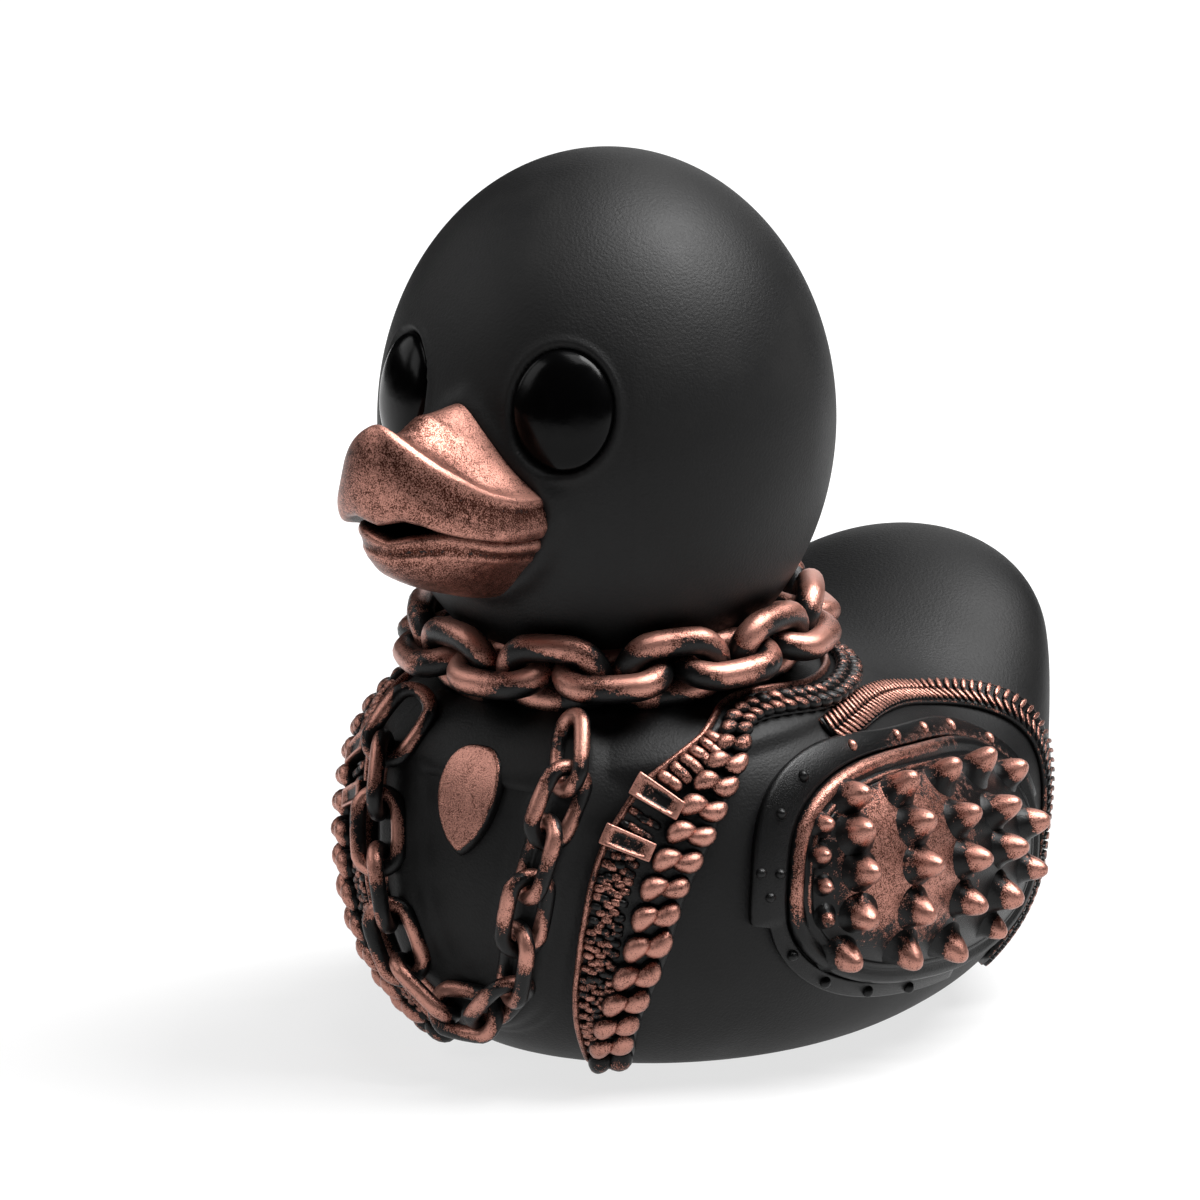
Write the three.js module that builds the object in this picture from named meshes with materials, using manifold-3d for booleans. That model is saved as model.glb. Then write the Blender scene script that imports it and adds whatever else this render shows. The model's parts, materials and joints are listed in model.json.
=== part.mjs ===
// Duck ornament: a rigid cast duck with chains, jacket lapels and studded wing pads.
// Millimetres, +Z up. The duck looks along -Y, so its left side is +X.
// The origin lies on the flat of the underside, in the middle of the duck's width.

import * as THREE from "three";
import { mergeVertices } from "three/addons/utils/BufferGeometryUtils.js";
import Module from "manifold-3d";

const wasm = await Module();
wasm.setup();

// Fits
const clearance = 0.3;
const wall = 2.4;

// Head: an egg on a short neck
const headCentreY = -16.3;
const headHalfWidth = 22.2;
const headHalfDepth = 22.6;
const headHalfHeight = 26.4;
const headSink = 2.2;
const neckRadius = 12.9;
const neckBlend = 3;
const neckSeatZ = 38.4;
const headCentreZ = neckSeatZ - headSink + headHalfHeight;
const spigotRadius = 9.6;
const spigotWall = 2;
const spigotDepth = 4.5;

// Body: a belly, the shoulders that carry the neck, and an upturned tail
const bellyCentreY = 2.9;
const bellyCentreZ = 17;
const bellyHalfWidth = 28.8;
const bellyHalfLength = 38.4;
const bellyRise = 18.5;
const bellyDrop = 20;
const bellyFullness = 2.3;
const shoulderCentreY = -13.6;
const shoulderCentreZ = 27;
const shoulderHalfWidth = 25.2;
const shoulderHalfLength = 23.2;
const shoulderRise = 12.4;
const shoulderDrop = 24;
const shoulderFullness = 2.5;
const tailCentreY = 28;
const tailCentreZ = 29.7;
const tailHalfWidth = 19.6;
const tailHalfLength = 19.3;
const tailHalfThickness = 11;
const tailTilt = 38;
const lobeBlend = 7;
const baseEdge = 1.5;
const bodyCentreZ = 20;

// Plug in the underside
const plugY = 16;
const plugRadius = 7;
const plugTaper = 0.8;
const plugThickness = 4.5;

// Bill: the upper half arches out from the face, dished behind a raised edge; the lower half is a bowl.
// Each line of the form: how far out it lies at the sides and at the tip, and how far up or down.
const mouthRise = 15.6;
const mouthZ = neckSeatZ + mouthRise;
const mouthTilt = 11.5;
const mouthGap = 0.5;
const billReachOut = 20.7;
const billRootY = headCentreY - billReachOut;
const billHalfWidth = 9.4;
const billLength = 15.9;
const billBackReach = 7;
const billSquareness = 2.3;
const billCrestRise = 12.5;
const billCrestFall = 8.5;
const billEdgeShape = 1.45;
const billFaceShape = 1.05;
const billDish = 2;
const billFaceY = headCentreY - headHalfDepth;
const billLines = [
  [0.35, 0.33, 0],
  [0.7, 0.66, 0],
  [0.95, 0.9, 0],
  [0.99, 0.95, 0.12],
  [1, 0.99, 0.3],
  [0.95, 1, 0.52],
  [0.925, 0.98, 0.78],
  [0.905, 0.92, 0.97],
];
const billTopShares = [0.86, 0.72, 0.54, 0.36, 0.18];
const bowlLines = [
  [0.35, 0.33, 0],
  [0.7, 0.64, 0],
  [0.88, 0.8, 0],
  [0.88, 0.83, 0.1],
  [0.8, 0.82, 0.3],
  [0.66, 0.8, 0.52],
  [0.44, 0.71, 0.76],
  [0.22, 0.46, 0.95],
];
const bowlDepth = 6;

// Eyes: upright ovals, domed out of shallow sockets
const eyeTurn = 26.4;
const eyeRise = 4.2;
const eyeZ = headCentreZ + eyeRise;
const eyeHalfWidth = 4.6;
const eyeHalfHeight = 5.5;
const eyeDepth = 1.4;
const eyeBulge = 0.8;

// Chain round the neck
const neckChainRadius = 18.3;
const neckChainY = -14.6;
const neckChainRise = 3.5;
const neckChainZ = neckSeatZ + neckChainRise;
const neckChainTilt = 5;
const neckChainWire = 1.25;
const neckChainBend = 3.05;
const neckChainPairs = 10;
const neckUprightTurn = -70;
const neckFlatTurn = 15;

// Chain that hangs from it over the breast
const chestChainWire = 0.8;
const chestChainBend = 2.05;
const chestChainLinks = 13;
const chestChainTurn = 45;
const chestChainSide = [
  [9.2, -34, 34.8],
  [10.9, -36.6, 31],
  [9.6, -39, 25.5],
  [8.6, -40, 20],
  [7.3, -40.2, 14.5],
  [5.4, -39.4, 10.2],
];
const chestChainBottom = [0, -38.6, 7.6];

// How much further than its wire a link reaches round the next one
const linkPlay = 0.5;

// Shield on the breast
const plateZ = 28.6;
const plateHalfWidth = 3.4;
const plateHalfHeight = 5;
const plateThickness = 0.7;
const plateFlare = 0.18;
const platePoint = 0.35;
const plateRoundness = 0.15;

// Lapels: a strip with piping on its inner edge, a row of zip teeth and a curb chain
const collarRadius = 22.5;
const lapelDip = 2;
const lapelThickness = 1;
const lapelSpacing = 2.6;
const collarWidth = 3.8;
const lapelWidth = 8.4;
const lapelTipWidth = 6.9;
const lapelTurnShare = 0.5;
const lapelFullShare = 0.74;
const collarTurns = [4, 40, 78, 112];
const lapelFront = [
  [20.2, -25.6, 33],
  [18.6, -30.3, 28],
  [17, -33.1, 22.5],
  [15.6, -33.9, 16],
  [12.8, -32.6, 9],
  [10.6, -29.8, 4.2],
];
const pipingWidth = 0.8;
const pipingHeight = 0.5;
const zipPitch = 1.7;
const zipWidth = 1.7;
const zipToothHeight = 0.8;
const zipBase = 0.35;
const curbPitch = 3.1;
const curbWidth = 3.6;
const curbBeadHeight = 1.6;
const curbValleyHeight = 0.6;
const curbMargin = 0.2;
const keeperLength = 2.7;
const keeperWidth = 2;
const keeperHeight = 1;
const keeperRecess = 0.4;
const keeperTurn = 30;
const keeperUpperZ = 28.4;
const keeperLowerZ = 24.6;

// Flat ribbed chain from the shoulder round behind the wing
const snakeWidth = 3;
const snakeThickness = 1;
const snakePitch = 3.2;
const snakeRib = 0.25;
const snakeRoute = [
  [23.4, -12, 33.2],
  [22.9, -8.6, 33.8],
  [21.4, -1, 34.7],
  [19.2, 8, 34],
  [18.6, 16, 32.4],
  [20.4, 21, 30.5],
  [22.4, 25, 26.6],
  [23.4, 26.6, 21.5],
  [23.6, 26, 15],
  [23.6, 22.6, 9],
  [22.6, 18, 4.6],
];

// Wings: a riveted strap round an oval pad with a studded plate
const wingY = -1.8;
const wingZ = 19.4;
const wingTilt = 5;
const wingHalfLength = 20.4;
const wingHalfHeight = 10.9;
const wingSquareness = 2.5;
const strapWidth = 1.5;
const strapFrontWidth = 3;
const strapThickness = 0.7;
const padThickness = 1.2;
const padRimWidth = 1.5;
const padRimHeight = 0.6;
const padInnerRings = [0.3, 0.65];
const studPlateThickness = 0.8;
const studPitchAlong = 7;
const studPitchUp = 4.1;
const studRadius = 1.5;
const studSmallShare = 0.65;
const studHeight = 3;
const studTipRadius = 0.7;
const rivetRadius = 0.6;
const rivetPitch = 6;
const strapStart = 20;
const strapEnd = 290;
const strapSteps = 27;

// Facets: along X, Y and Z of the shells, round the round pieces, and along and round a link
const bodyFacets = [10, 16, 8];
const bodyInnerFacets = [6, 8, 5];
const headFacets = [9, 9, 11];
const headInnerFacets = [5, 5, 6];
const roundSides = 28;
const eyeSides = 18;
const plateSides = 20;
const linkSides = 6;
const linkTurns = 8;
const studSides = 6;
const chestSteps = 48;
const bisections = 40;

// Paints
const blackPaint = new THREE.MeshStandardMaterial({ color: 0x1b1b1d, roughness: 0.62, metalness: 0 });
const glossBlack = new THREE.MeshStandardMaterial({ color: 0x050506, roughness: 0.06, metalness: 0 });
const copperPaint = new THREE.MeshStandardMaterial({ color: 0x9a5f4b, roughness: 0.45, metalness: 0.7 });

const degree = Math.PI / 180;
const duck = new THREE.Group();

// Adds one named piece to the duck.
function addPiece(name, geometry, material) {
  const mesh = new THREE.Mesh(geometry, material.clone());
  mesh.name = name;
  duck.add(mesh);
  return mesh;
}

// Joins two rounded forms: the smaller value, with a fillet of the given size between them.
function smoothMin(a, b, size) {
  const h = THREE.MathUtils.clamp(0.5 + (0.5 * (b - a)) / size, 0, 1);
  return b + (a - b) * h - size * h * (1 - h);
}

// A rounded lobe that rises and drops by different amounts. Negative inside, about a distance in mm.
function lobe(p, centreY, centreZ, halfWidth, halfLength, rise, drop, fullness) {
  const plan = Math.hypot(p.x / halfWidth, (p.y - centreY) / halfLength);
  const height = p.z - centreZ;
  const up = Math.abs(height) / (height > 0 ? rise : drop);
  const k = (plan ** fullness + up ** fullness) ** (1 / fullness);
  return (k - 1) * Math.min(halfWidth, rise);
}

function tailLobe(p) {
  const c = Math.cos(tailTilt * degree);
  const s = Math.sin(tailTilt * degree);
  const y = p.y - tailCentreY;
  const z = p.z - tailCentreZ;
  const k = Math.hypot(p.x / tailHalfWidth, (y * c + z * s) / tailHalfLength, (z * c - y * s) / tailHalfThickness);
  return (k - 1) * tailHalfThickness;
}

// The body's skin is where this is zero.
function bodyForm(p) {
  const belly = lobe(
    p, bellyCentreY, bellyCentreZ, bellyHalfWidth, bellyHalfLength, bellyRise, bellyDrop, bellyFullness,
  );
  const shoulders = lobe(
    p, shoulderCentreY, shoulderCentreZ, shoulderHalfWidth, shoulderHalfLength, shoulderRise, shoulderDrop,
    shoulderFullness,
  );
  const upper = smoothMin(smoothMin(belly, shoulders, lobeBlend), tailLobe(p), lobeBlend);
  return -smoothMin(-upper, p.z, baseEdge);
}

// The head's skin, with the neck below it.
function headForm(p) {
  const k = Math.hypot(
    p.x / headHalfWidth, (p.y - headCentreY) / headHalfDepth, (p.z - headCentreZ) / headHalfHeight,
  );
  const egg = (k - 1) * headHalfWidth;
  const neck = Math.max(Math.hypot(p.x, p.y - headCentreY) - neckRadius, p.z - headCentreZ);
  const joined = smoothMin(egg, neck, neckBlend);
  return Math.max(joined, neckSeatZ + clearance - p.z);
}

// The point where a ray from an inner point leaves a form that is grown by lift.
function skinPoint(form, centre, direction, lift) {
  const reach = headCentreZ + headHalfHeight;
  const p = new THREE.Vector3();
  let near = 0;
  let far = reach;
  for (let step = 0; step < bisections; step++) {
    const middle = (near + far) / 2;
    p.copy(direction).multiplyScalar(middle).add(centre);
    if (form(p) < lift) near = middle;
    else far = middle;
  }
  return p;
}

function skinNormal(form, p) {
  const d = 0.05;
  const n = new THREE.Vector3(
    form(new THREE.Vector3(p.x + d, p.y, p.z)) - form(new THREE.Vector3(p.x - d, p.y, p.z)),
    form(new THREE.Vector3(p.x, p.y + d, p.z)) - form(new THREE.Vector3(p.x, p.y - d, p.z)),
    form(new THREE.Vector3(p.x, p.y, p.z + d)) - form(new THREE.Vector3(p.x, p.y, p.z - d)),
  );
  return n.normalize();
}

const bodyCentre = new THREE.Vector3(0, bellyCentreY, bodyCentreZ);
const headCentre = new THREE.Vector3(0, headCentreY, headCentreZ);

// A point on the body's skin under or over a point near it, and the way out of the skin there.
function onBody(x, y, z) {
  const aim = new THREE.Vector3(x, y, z).sub(bodyCentre).normalize();
  const point = skinPoint(bodyForm, bodyCentre, aim, 0);
  return { point, out: skinNormal(bodyForm, point) };
}

// A closed skin of four-sided facets: a box blown up along rays from the centre.
function blownSkin(form, centre, size, counts, lift) {
  const box = new THREE.BoxGeometry(1, 1, 1, counts[0], counts[1], counts[2]);
  const at = box.attributes.position;
  const p = new THREE.Vector3();
  const corner = Math.PI / 2;
  for (let i = 0; i < at.count; i++) {
    p.fromBufferAttribute(at, i);
    p.set(Math.tan(p.x * corner), Math.tan(p.y * corner), Math.tan(p.z * corner));
    p.multiply(size).normalize();
    const q = skinPoint(form, centre, p, lift);
    at.setXYZ(i, q.x, q.y, q.z);
  }
  return box;
}

// Turns a closed geometry into a solid that can be cut and joined.
function solidFrom(geometry) {
  const bare = geometry.index ? geometry.toNonIndexed() : geometry.clone();
  bare.deleteAttribute("normal");
  bare.deleteAttribute("uv");
  const merged = mergeVertices(bare, 1e-4);
  return new wasm.Manifold(
    new wasm.Mesh({
      numProp: 3,
      vertProperties: new Float32Array(merged.attributes.position.array),
      triVerts: new Uint32Array(merged.index.array),
    }),
  );
}

function geometryFrom(solid) {
  const mesh = solid.getMesh();
  const geometry = new THREE.BufferGeometry();
  geometry.setAttribute("position", new THREE.BufferAttribute(new Float32Array(mesh.vertProperties), 3));
  geometry.setIndex(new THREE.BufferAttribute(new Uint32Array(mesh.triVerts), 1));
  geometry.computeVertexNormals();
  return geometry;
}

// An upright cylinder from one height to another.
function upright(radius, y, fromZ, toZ) {
  const height = toZ - fromZ;
  const geometry = new THREE.CylinderGeometry(radius, radius, height, roundSides);
  geometry.rotateX(Math.PI / 2);
  geometry.translate(0, y, fromZ + height / 2);
  return solidFrom(geometry);
}

function centroid(points) {
  const middle = new THREE.Vector3();
  points.forEach((p) => middle.addScaledVector(p, 1 / points.length));
  return middle;
}

// A closed solid from a grid of rings: each ring is a closed loop of points, the ends are capped by fans.
function loft(rings, firstHub, lastHub) {
  const positions = [];
  const index = [];
  const sides = rings[0].length;
  rings.forEach((ring) => ring.forEach((p) => positions.push(p.x, p.y, p.z)));
  for (let i = 0; i + 1 < rings.length; i++) {
    for (let j = 0; j < sides; j++) {
      const a = i * sides + j;
      const b = i * sides + ((j + 1) % sides);
      index.push(a, b, b + sides, a, b + sides, a + sides);
    }
  }
  [0, rings.length - 1].forEach((end, which) => {
    const middle = (which === 0 ? firstHub : lastHub) || centroid(rings[end]);
    const hub = positions.length / 3;
    positions.push(middle.x, middle.y, middle.z);
    for (let j = 0; j < sides; j++) {
      const a = end * sides + j;
      const b = end * sides + ((j + 1) % sides);
      if (which === 0) index.push(hub, b, a);
      else index.push(hub, a, b);
    }
  });
  const geometry = new THREE.BufferGeometry();
  geometry.setAttribute("position", new THREE.Float32BufferAttribute(positions, 3));
  geometry.setIndex(index);
  geometry.computeVertexNormals();
  return geometry;
}

// The same piece on the duck's right side.
function mirrored(geometry) {
  const copy = geometry.index ? geometry.toNonIndexed() : geometry.clone();
  const at = copy.attributes.position;
  for (let i = 0; i < at.count; i += 3) {
    const [a, b, c] = [i, i + 1, i + 2].map((k) => new THREE.Vector3().fromBufferAttribute(at, k));
    [a, c, b].forEach((q, k) => at.setXYZ(i + k, -q.x, q.y, q.z));
  }
  copy.computeVertexNormals();
  return copy;
}

function addPair(name, geometry, material) {
  addPiece("left_" + name, geometry, material);
  addPiece("right_" + name, mirrored(geometry), material);
}

// The body's and the head's outer skins, grown by a given amount.
function grownBody(lift) {
  const box = new THREE.Vector3(bellyHalfWidth, bellyHalfLength, bellyRise);
  return blownSkin(bodyForm, bodyCentre, box, bodyFacets, lift);
}

function grownHead(lift) {
  const box = new THREE.Vector3(headHalfWidth, headHalfDepth, headHalfHeight);
  return blownSkin(headForm, headCentre, box, headFacets, lift);
}

// The hollow body, open at the neck and at the plug hole.
function bodyShell() {
  const box = new THREE.Vector3(bellyHalfWidth, bellyHalfLength, bellyRise);
  const outer = solidFrom(grownBody(0));
  const inner = solidFrom(blownSkin(bodyForm, bodyCentre, box, bodyInnerFacets, -wall));
  const top = headCentreZ;
  const seat = upright(neckRadius + clearance, headCentreY, neckSeatZ, top);
  const socket = upright(spigotRadius + clearance, headCentreY, bellyCentreZ, top);
  const hole = upright(plugRadius, plugY, -wall, bellyCentreZ);
  return geometryFrom(outer.subtract(inner).subtract(seat).subtract(socket).subtract(hole));
}

// The hollow head with the spigot that plugs into the body, and the two eye sockets.
function headShell() {
  const size = new THREE.Vector3(headHalfWidth, headHalfDepth, headHalfHeight);
  const outer = solidFrom(grownHead(0));
  const inner = solidFrom(blownSkin(headForm, headCentre, size, headInnerFacets, -wall));
  const spigotBottom = neckSeatZ - spigotDepth;
  const spigot = upright(spigotRadius, headCentreY, spigotBottom, neckSeatZ + wall);
  const bore = upright(spigotRadius - spigotWall, headCentreY, spigotBottom - wall, headCentreZ);
  let shell = outer.add(spigot).subtract(inner).subtract(bore);
  [1, -1].forEach((side) => {
    shell = shell.subtract(solidFrom(eyeForm(side, clearance)));
  });
  return geometryFrom(shell);
}

// An eye: an oval lens across the head's skin, grown by grow all round.
function eyeForm(side, grow) {
  const turn = eyeTurn * degree * side;
  const aim = new THREE.Vector3(Math.sin(turn), -Math.cos(turn), (eyeZ - headCentreZ) / headHalfWidth);
  const middle = skinPoint(headForm, headCentre, aim.normalize(), 0);
  const lens = new THREE.SphereGeometry(1, eyeSides, eyeSides / 2);
  lens.rotateX(Math.PI / 2);
  lens.scale(eyeHalfWidth + grow, eyeHalfHeight + grow, eyeDepth + grow);
  const out = skinNormal(headForm, middle);
  const seat = new THREE.Object3D();
  seat.position.copy(middle).addScaledVector(out, eyeBulge - eyeDepth);
  seat.up.set(0, 0, 1);
  seat.lookAt(seat.position.clone().add(out));
  seat.updateMatrixWorld(true);
  lens.applyMatrix4(seat.matrixWorld);
  return lens;
}

function plug() {
  const rim = plugRadius - clearance;
  const profile = [
    new THREE.Vector2(0, clearance),
    new THREE.Vector2(rim, clearance),
    new THREE.Vector2(rim, wall),
    new THREE.Vector2(rim - plugTaper, plugThickness),
    new THREE.Vector2(0, plugThickness),
  ];
  const geometry = new THREE.LatheGeometry(profile, roundSides);
  geometry.rotateX(Math.PI / 2);
  geometry.translate(0, plugY, 0);
  return geometryFrom(solidFrom(geometry));
}

// The mouth rises towards the tip.
function mouthAt(y) {
  return mouthZ + (billRootY - y) * Math.tan(mouthTilt * degree);
}

// The bill's outline in plan: forward to the tip, and back into the head.
function billOutline(angle, sideShare, tipShare) {
  const c = Math.cos(angle);
  const s = Math.sin(angle);
  const share = sideShare + (tipShare - sideShare) * (s < 0 ? s * s : 0);
  const k = share / (Math.abs(c) ** billSquareness + Math.abs(s) ** billSquareness) ** (1 / billSquareness);
  return [c * k * billHalfWidth, billRootY + s * k * (s < 0 ? billLength : billBackReach)];
}

// The height of the bill's arch: round at the raised edge, straighter where it meets the face.
function billCrest(x, y) {
  const forward = THREE.MathUtils.clamp((billFaceY - y) / (billLength / 2), 0, 1);
  const shape = THREE.MathUtils.lerp(billFaceShape, billEdgeShape, forward);
  return mouthZ + billCrestRise - billCrestFall * Math.abs(x / billHalfWidth) ** shape;
}

// One ring of the bill: its plan, and its height from the place in that plan.
function billRing(sideShare, tipShare, heightAt) {
  const ring = [];
  for (let j = 0; j < roundSides; j++) {
    const [x, y] = billOutline((j / roundSides) * 2 * Math.PI, sideShare, tipShare);
    ring.push(new THREE.Vector3(x, y, heightAt(x, y)));
  }
  return ring;
}

// The bill's upper half: up the side from the lip to the raised edge, then in over the dished top.
function upperBill() {
  const floorAt = (y) => mouthAt(y) + mouthGap / 2;
  const side = billLines.map(([sideShare, tipShare, rise]) =>
    billRing(sideShare, tipShare, (x, y) => floorAt(y) + (billCrest(x, y) - floorAt(y)) * rise),
  );
  const edgeShare = billLines[billLines.length - 1][0];
  const top = billTopShares.map((share) =>
    billRing(share, share, (x, y) => {
      const forward = THREE.MathUtils.clamp(billFaceY - y, 0, billLength);
      const behind = 1 - share / edgeShare;
      return billCrest(x, y) - billDish * Math.sin(Math.PI * Math.min(1, behind * 2)) * Math.min(1, forward / billDish);
    }),
  );
  const hub = new THREE.Vector3(0, billRootY, billCrest(0, billRootY));
  return loft([...side, ...top], new THREE.Vector3(0, billRootY, floorAt(billRootY)), hub);
}

// The lower half: a bowl that hangs just under the upper half.
function lowerBill() {
  const rimAt = (y) => mouthAt(y) - mouthGap / 2;
  const rings = bowlLines.map(([sideShare, tipShare, drop]) =>
    billRing(sideShare, tipShare, (x, y) => rimAt(y) - drop * bowlDepth),
  );
  const rim = new THREE.Vector3(0, billRootY, rimAt(billRootY));
  const bottom = new THREE.Vector3(0, billRootY, rimAt(billRootY) - bowlDepth);
  return loft([...rings].reverse(), bottom, rim);
}

// A half of the bill, cut back to the face.
function onFace(blank) {
  return geometryFrom(solidFrom(blank).subtract(solidFrom(grownHead(clearance))));
}

// One chain link: a ring drawn out to an oval. Its length lies along X and its width along Y.
function linkGeometry(wire, bend, pitch) {
  const straight = pitch - 2 * bend + 2 * wire + linkPlay;
  const ring = new THREE.TorusGeometry(bend, wire, linkSides, linkTurns);
  const at = ring.attributes.position;
  for (let i = 0; i < at.count; i++) {
    at.setX(i, at.getX(i) + Math.sign(at.getX(i)) * (straight / 2));
  }
  return ring;
}

// Lays links along a route, each clear of the shells and of the links before it.
// Every second link has the second turn.
function addChain(name, count, closed, wire, bend, turns, route) {
  let taken = solidFrom(grownBody(clearance)).add(solidFrom(grownHead(clearance)));
  const share = (i) => (closed ? i / count : (i + 0.5) / count);
  const step = share(1) - share(0);
  for (let i = 0; i < count; i++) {
    const here = route(share(i));
    const before = route(share(i) - step / 2).point;
    const after = route(share(i) + step / 2).point;
    const along = after.clone().sub(before);
    const pitch = along.length();
    along.normalize();
    const out = here.out.clone().addScaledVector(along, -here.out.dot(along)).normalize();
    const across = new THREE.Vector3().crossVectors(out, along);
    const turn = turns[i % 2] * degree;
    const width = across.clone().multiplyScalar(Math.cos(turn)).addScaledVector(out, Math.sin(turn));
    const normal = new THREE.Vector3().crossVectors(along, width);
    const place = new THREE.Matrix4().makeBasis(along, width, normal);
    place.setPosition(before.clone().add(after).multiplyScalar(0.5));
    const link = solidFrom(linkGeometry(wire, bend, pitch).applyMatrix4(place)).subtract(taken);
    addPiece(name + "_" + String(i + 1).padStart(2, "0"), geometryFrom(link), copperPaint);
    taken = taken.add(solidFrom(linkGeometry(wire + clearance / 2, bend, pitch).applyMatrix4(place)));
  }
}

// Round the neck, a little higher at the back than at the throat.
function neckRoute(share) {
  const turn = share * 2 * Math.PI;
  const lean = Math.tan(neckChainTilt * degree);
  const point = new THREE.Vector3(
    neckChainRadius * Math.sin(turn),
    neckChainY - neckChainRadius * Math.cos(turn),
    neckChainZ - neckChainRadius * Math.cos(turn) * lean,
  );
  return { point, out: new THREE.Vector3(0, -lean, 1).normalize() };
}

// Down one side of the breast, round the bottom and up the other side, clear of the skin.
const chestCurve = (() => {
  const otherSide = chestChainSide.map(([x, y, z]) => [-x, y, z]).reverse();
  const aims = [...chestChainSide, chestChainBottom, ...otherSide];
  const loop = new THREE.CatmullRomCurve3(aims.map(([x, y, z]) => new THREE.Vector3(x, y, z)));
  const lift = chestChainBend * Math.sin(chestChainTurn * degree) + chestChainWire + clearance;
  const points = loop.getPoints(chestSteps).map((q) => {
    const skin = onBody(q.x, q.y, q.z);
    return skin.point.addScaledVector(skin.out, lift);
  });
  return new THREE.CatmullRomCurve3(points);
})();

function chestRoute(share) {
  const point = chestCurve.getPointAt(THREE.MathUtils.clamp(share, 0, 1));
  return { point, out: skinNormal(bodyForm, point) };
}

// The same outline, drawn smaller.
function shrunk(outline, share) {
  return (angle) => outline(angle).map((size) => size * share);
}

// A pad draped on the body. Each layer is a ring: an outline and its height over the skin.
function drapedPad(place, sides, layers) {
  const ringAt = ([outline, height]) => {
    const ring = [];
    for (let j = 0; j < sides; j++) {
      const skin = place(...outline((j / sides) * 2 * Math.PI));
      ring.push(skin.point.addScaledVector(skin.out, height));
    }
    return ring;
  };
  const hubAt = (height) => {
    const skin = place(0, 0);
    return skin.point.addScaledVector(skin.out, height);
  };
  return loft(layers.map(ringAt), hubAt(layers[0][1]), hubAt(layers[layers.length - 1][1]));
}

// A ribbon draped on the body. A station gives its middle, its way across and its width.
function drapedRibbon(stations, section) {
  const rings = stations.map((station, i) =>
    section(station.width, i).map(([across, height]) => {
      const aim = station.middle.clone().addScaledVector(station.across, across);
      const skin = onBody(aim.x, aim.y, aim.z);
      return skin.point.addScaledVector(skin.out, height);
    }),
  );
  return loft(rings);
}

// Stations along a route on the body, about as far apart as asked.
function stationsOn(points, spacing, widthAt) {
  const route = new THREE.CatmullRomCurve3(points.map(([x, y, z]) => onBody(x, y, z).point));
  const count = Math.round(route.getLength() / spacing);
  const stations = [];
  for (let i = 0; i <= count; i++) {
    const share = i / count;
    const at = route.getPointAt(share);
    const skin = onBody(at.x, at.y, at.z);
    const along = route.getTangentAt(share);
    const across = new THREE.Vector3().crossVectors(skin.out, along).normalize();
    stations.push({ middle: skin.point, out: skin.out, along, across, width: widthAt(share), share });
  }
  return stations;
}

// The lapel's middle line: round the back of the neck, over the shoulder and down beside the breast.
function lapelRoute() {
  const top = shoulderCentreZ + shoulderRise - lapelDip;
  const back = collarTurns.map((turn) => [
    collarRadius * Math.sin(turn * degree), neckChainY + collarRadius * Math.cos(turn * degree), top,
  ]);
  return back.concat(lapelFront);
}

function lapelWidthAt(share) {
  const grow = THREE.MathUtils.smoothstep(share, lapelTurnShare, lapelFullShare);
  const taper = THREE.MathUtils.smoothstep(share, lapelFullShare, 1);
  return collarWidth + (lapelWidth - collarWidth) * grow - (lapelWidth - lapelTipWidth) * taper;
}

const lapelSkin = clearance + lapelThickness;
const zipSkin = lapelSkin + clearance;

function lapelStations(spacing) {
  return stationsOn(lapelRoute(), spacing, lapelWidthAt);
}

// Cross-sections run over the top from the outer edge to the inner edge, then back along the skin.
function lapelSection(width) {
  const half = width / 2;
  const rise = (width - collarWidth) / (lapelWidth - collarWidth);
  return [
    [half, clearance + lapelThickness / 2],
    [half - pipingWidth, lapelSkin],
    [0, lapelSkin],
    [pipingWidth - half, lapelSkin],
    [pipingWidth / 2 - half, lapelSkin + rise * pipingHeight],
    [-half, clearance + lapelThickness / 2],
    [-half, clearance],
    [0, clearance],
    [half, clearance],
  ];
}

function lapel() {
  return drapedRibbon(lapelStations(lapelSpacing), lapelSection);
}

// Zip teeth: a narrow ribbon whose height steps up and down, low where a keeper crosses it.
function zip() {
  const needed = pipingWidth + clearance + zipWidth + clearance + curbWidth + curbMargin;
  const stations = lapelStations(zipPitch / 2).filter((s) => s.width > needed && s.share < 1);
  const section = (width, i) => {
    const middle = pipingWidth + clearance + zipWidth / 2 - width / 2;
    const under = [keeperUpperZ, keeperLowerZ].some((z) => Math.abs(stations[i].middle.z - z) < keeperWidth);
    const top = zipSkin + zipBase + (i % 2 && !under ? zipToothHeight : 0);
    return [
      [middle + zipWidth / 2, top],
      [middle - zipWidth / 2, top],
      [middle - zipWidth / 2, zipSkin],
      [middle + zipWidth / 2, zipSkin],
    ];
  };
  return drapedRibbon(stations, section);
}

// Curb chain: two rows of staggered beads along the outer edge of the lapel.
function curbChain() {
  const stations = lapelStations(curbPitch / 2).filter((s) => s.share < 1);
  return drapedRibbon(stations, (width, i) => {
    const outer = width / 2 - curbMargin;
    const peak = zipSkin + curbBeadHeight;
    const valley = zipSkin + curbValleyHeight;
    return [
      [outer, zipSkin + curbValleyHeight / 2],
      [outer - curbWidth / 4, i % 2 ? valley : peak],
      [outer - curbWidth / 2, valley],
      [outer - (curbWidth * 3) / 4, i % 2 ? peak : valley],
      [outer - curbWidth, zipSkin + curbValleyHeight / 2],
      [outer - curbWidth, zipSkin],
      [outer - curbWidth / 2, zipSkin],
      [outer, zipSkin],
    ];
  });
}

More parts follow.
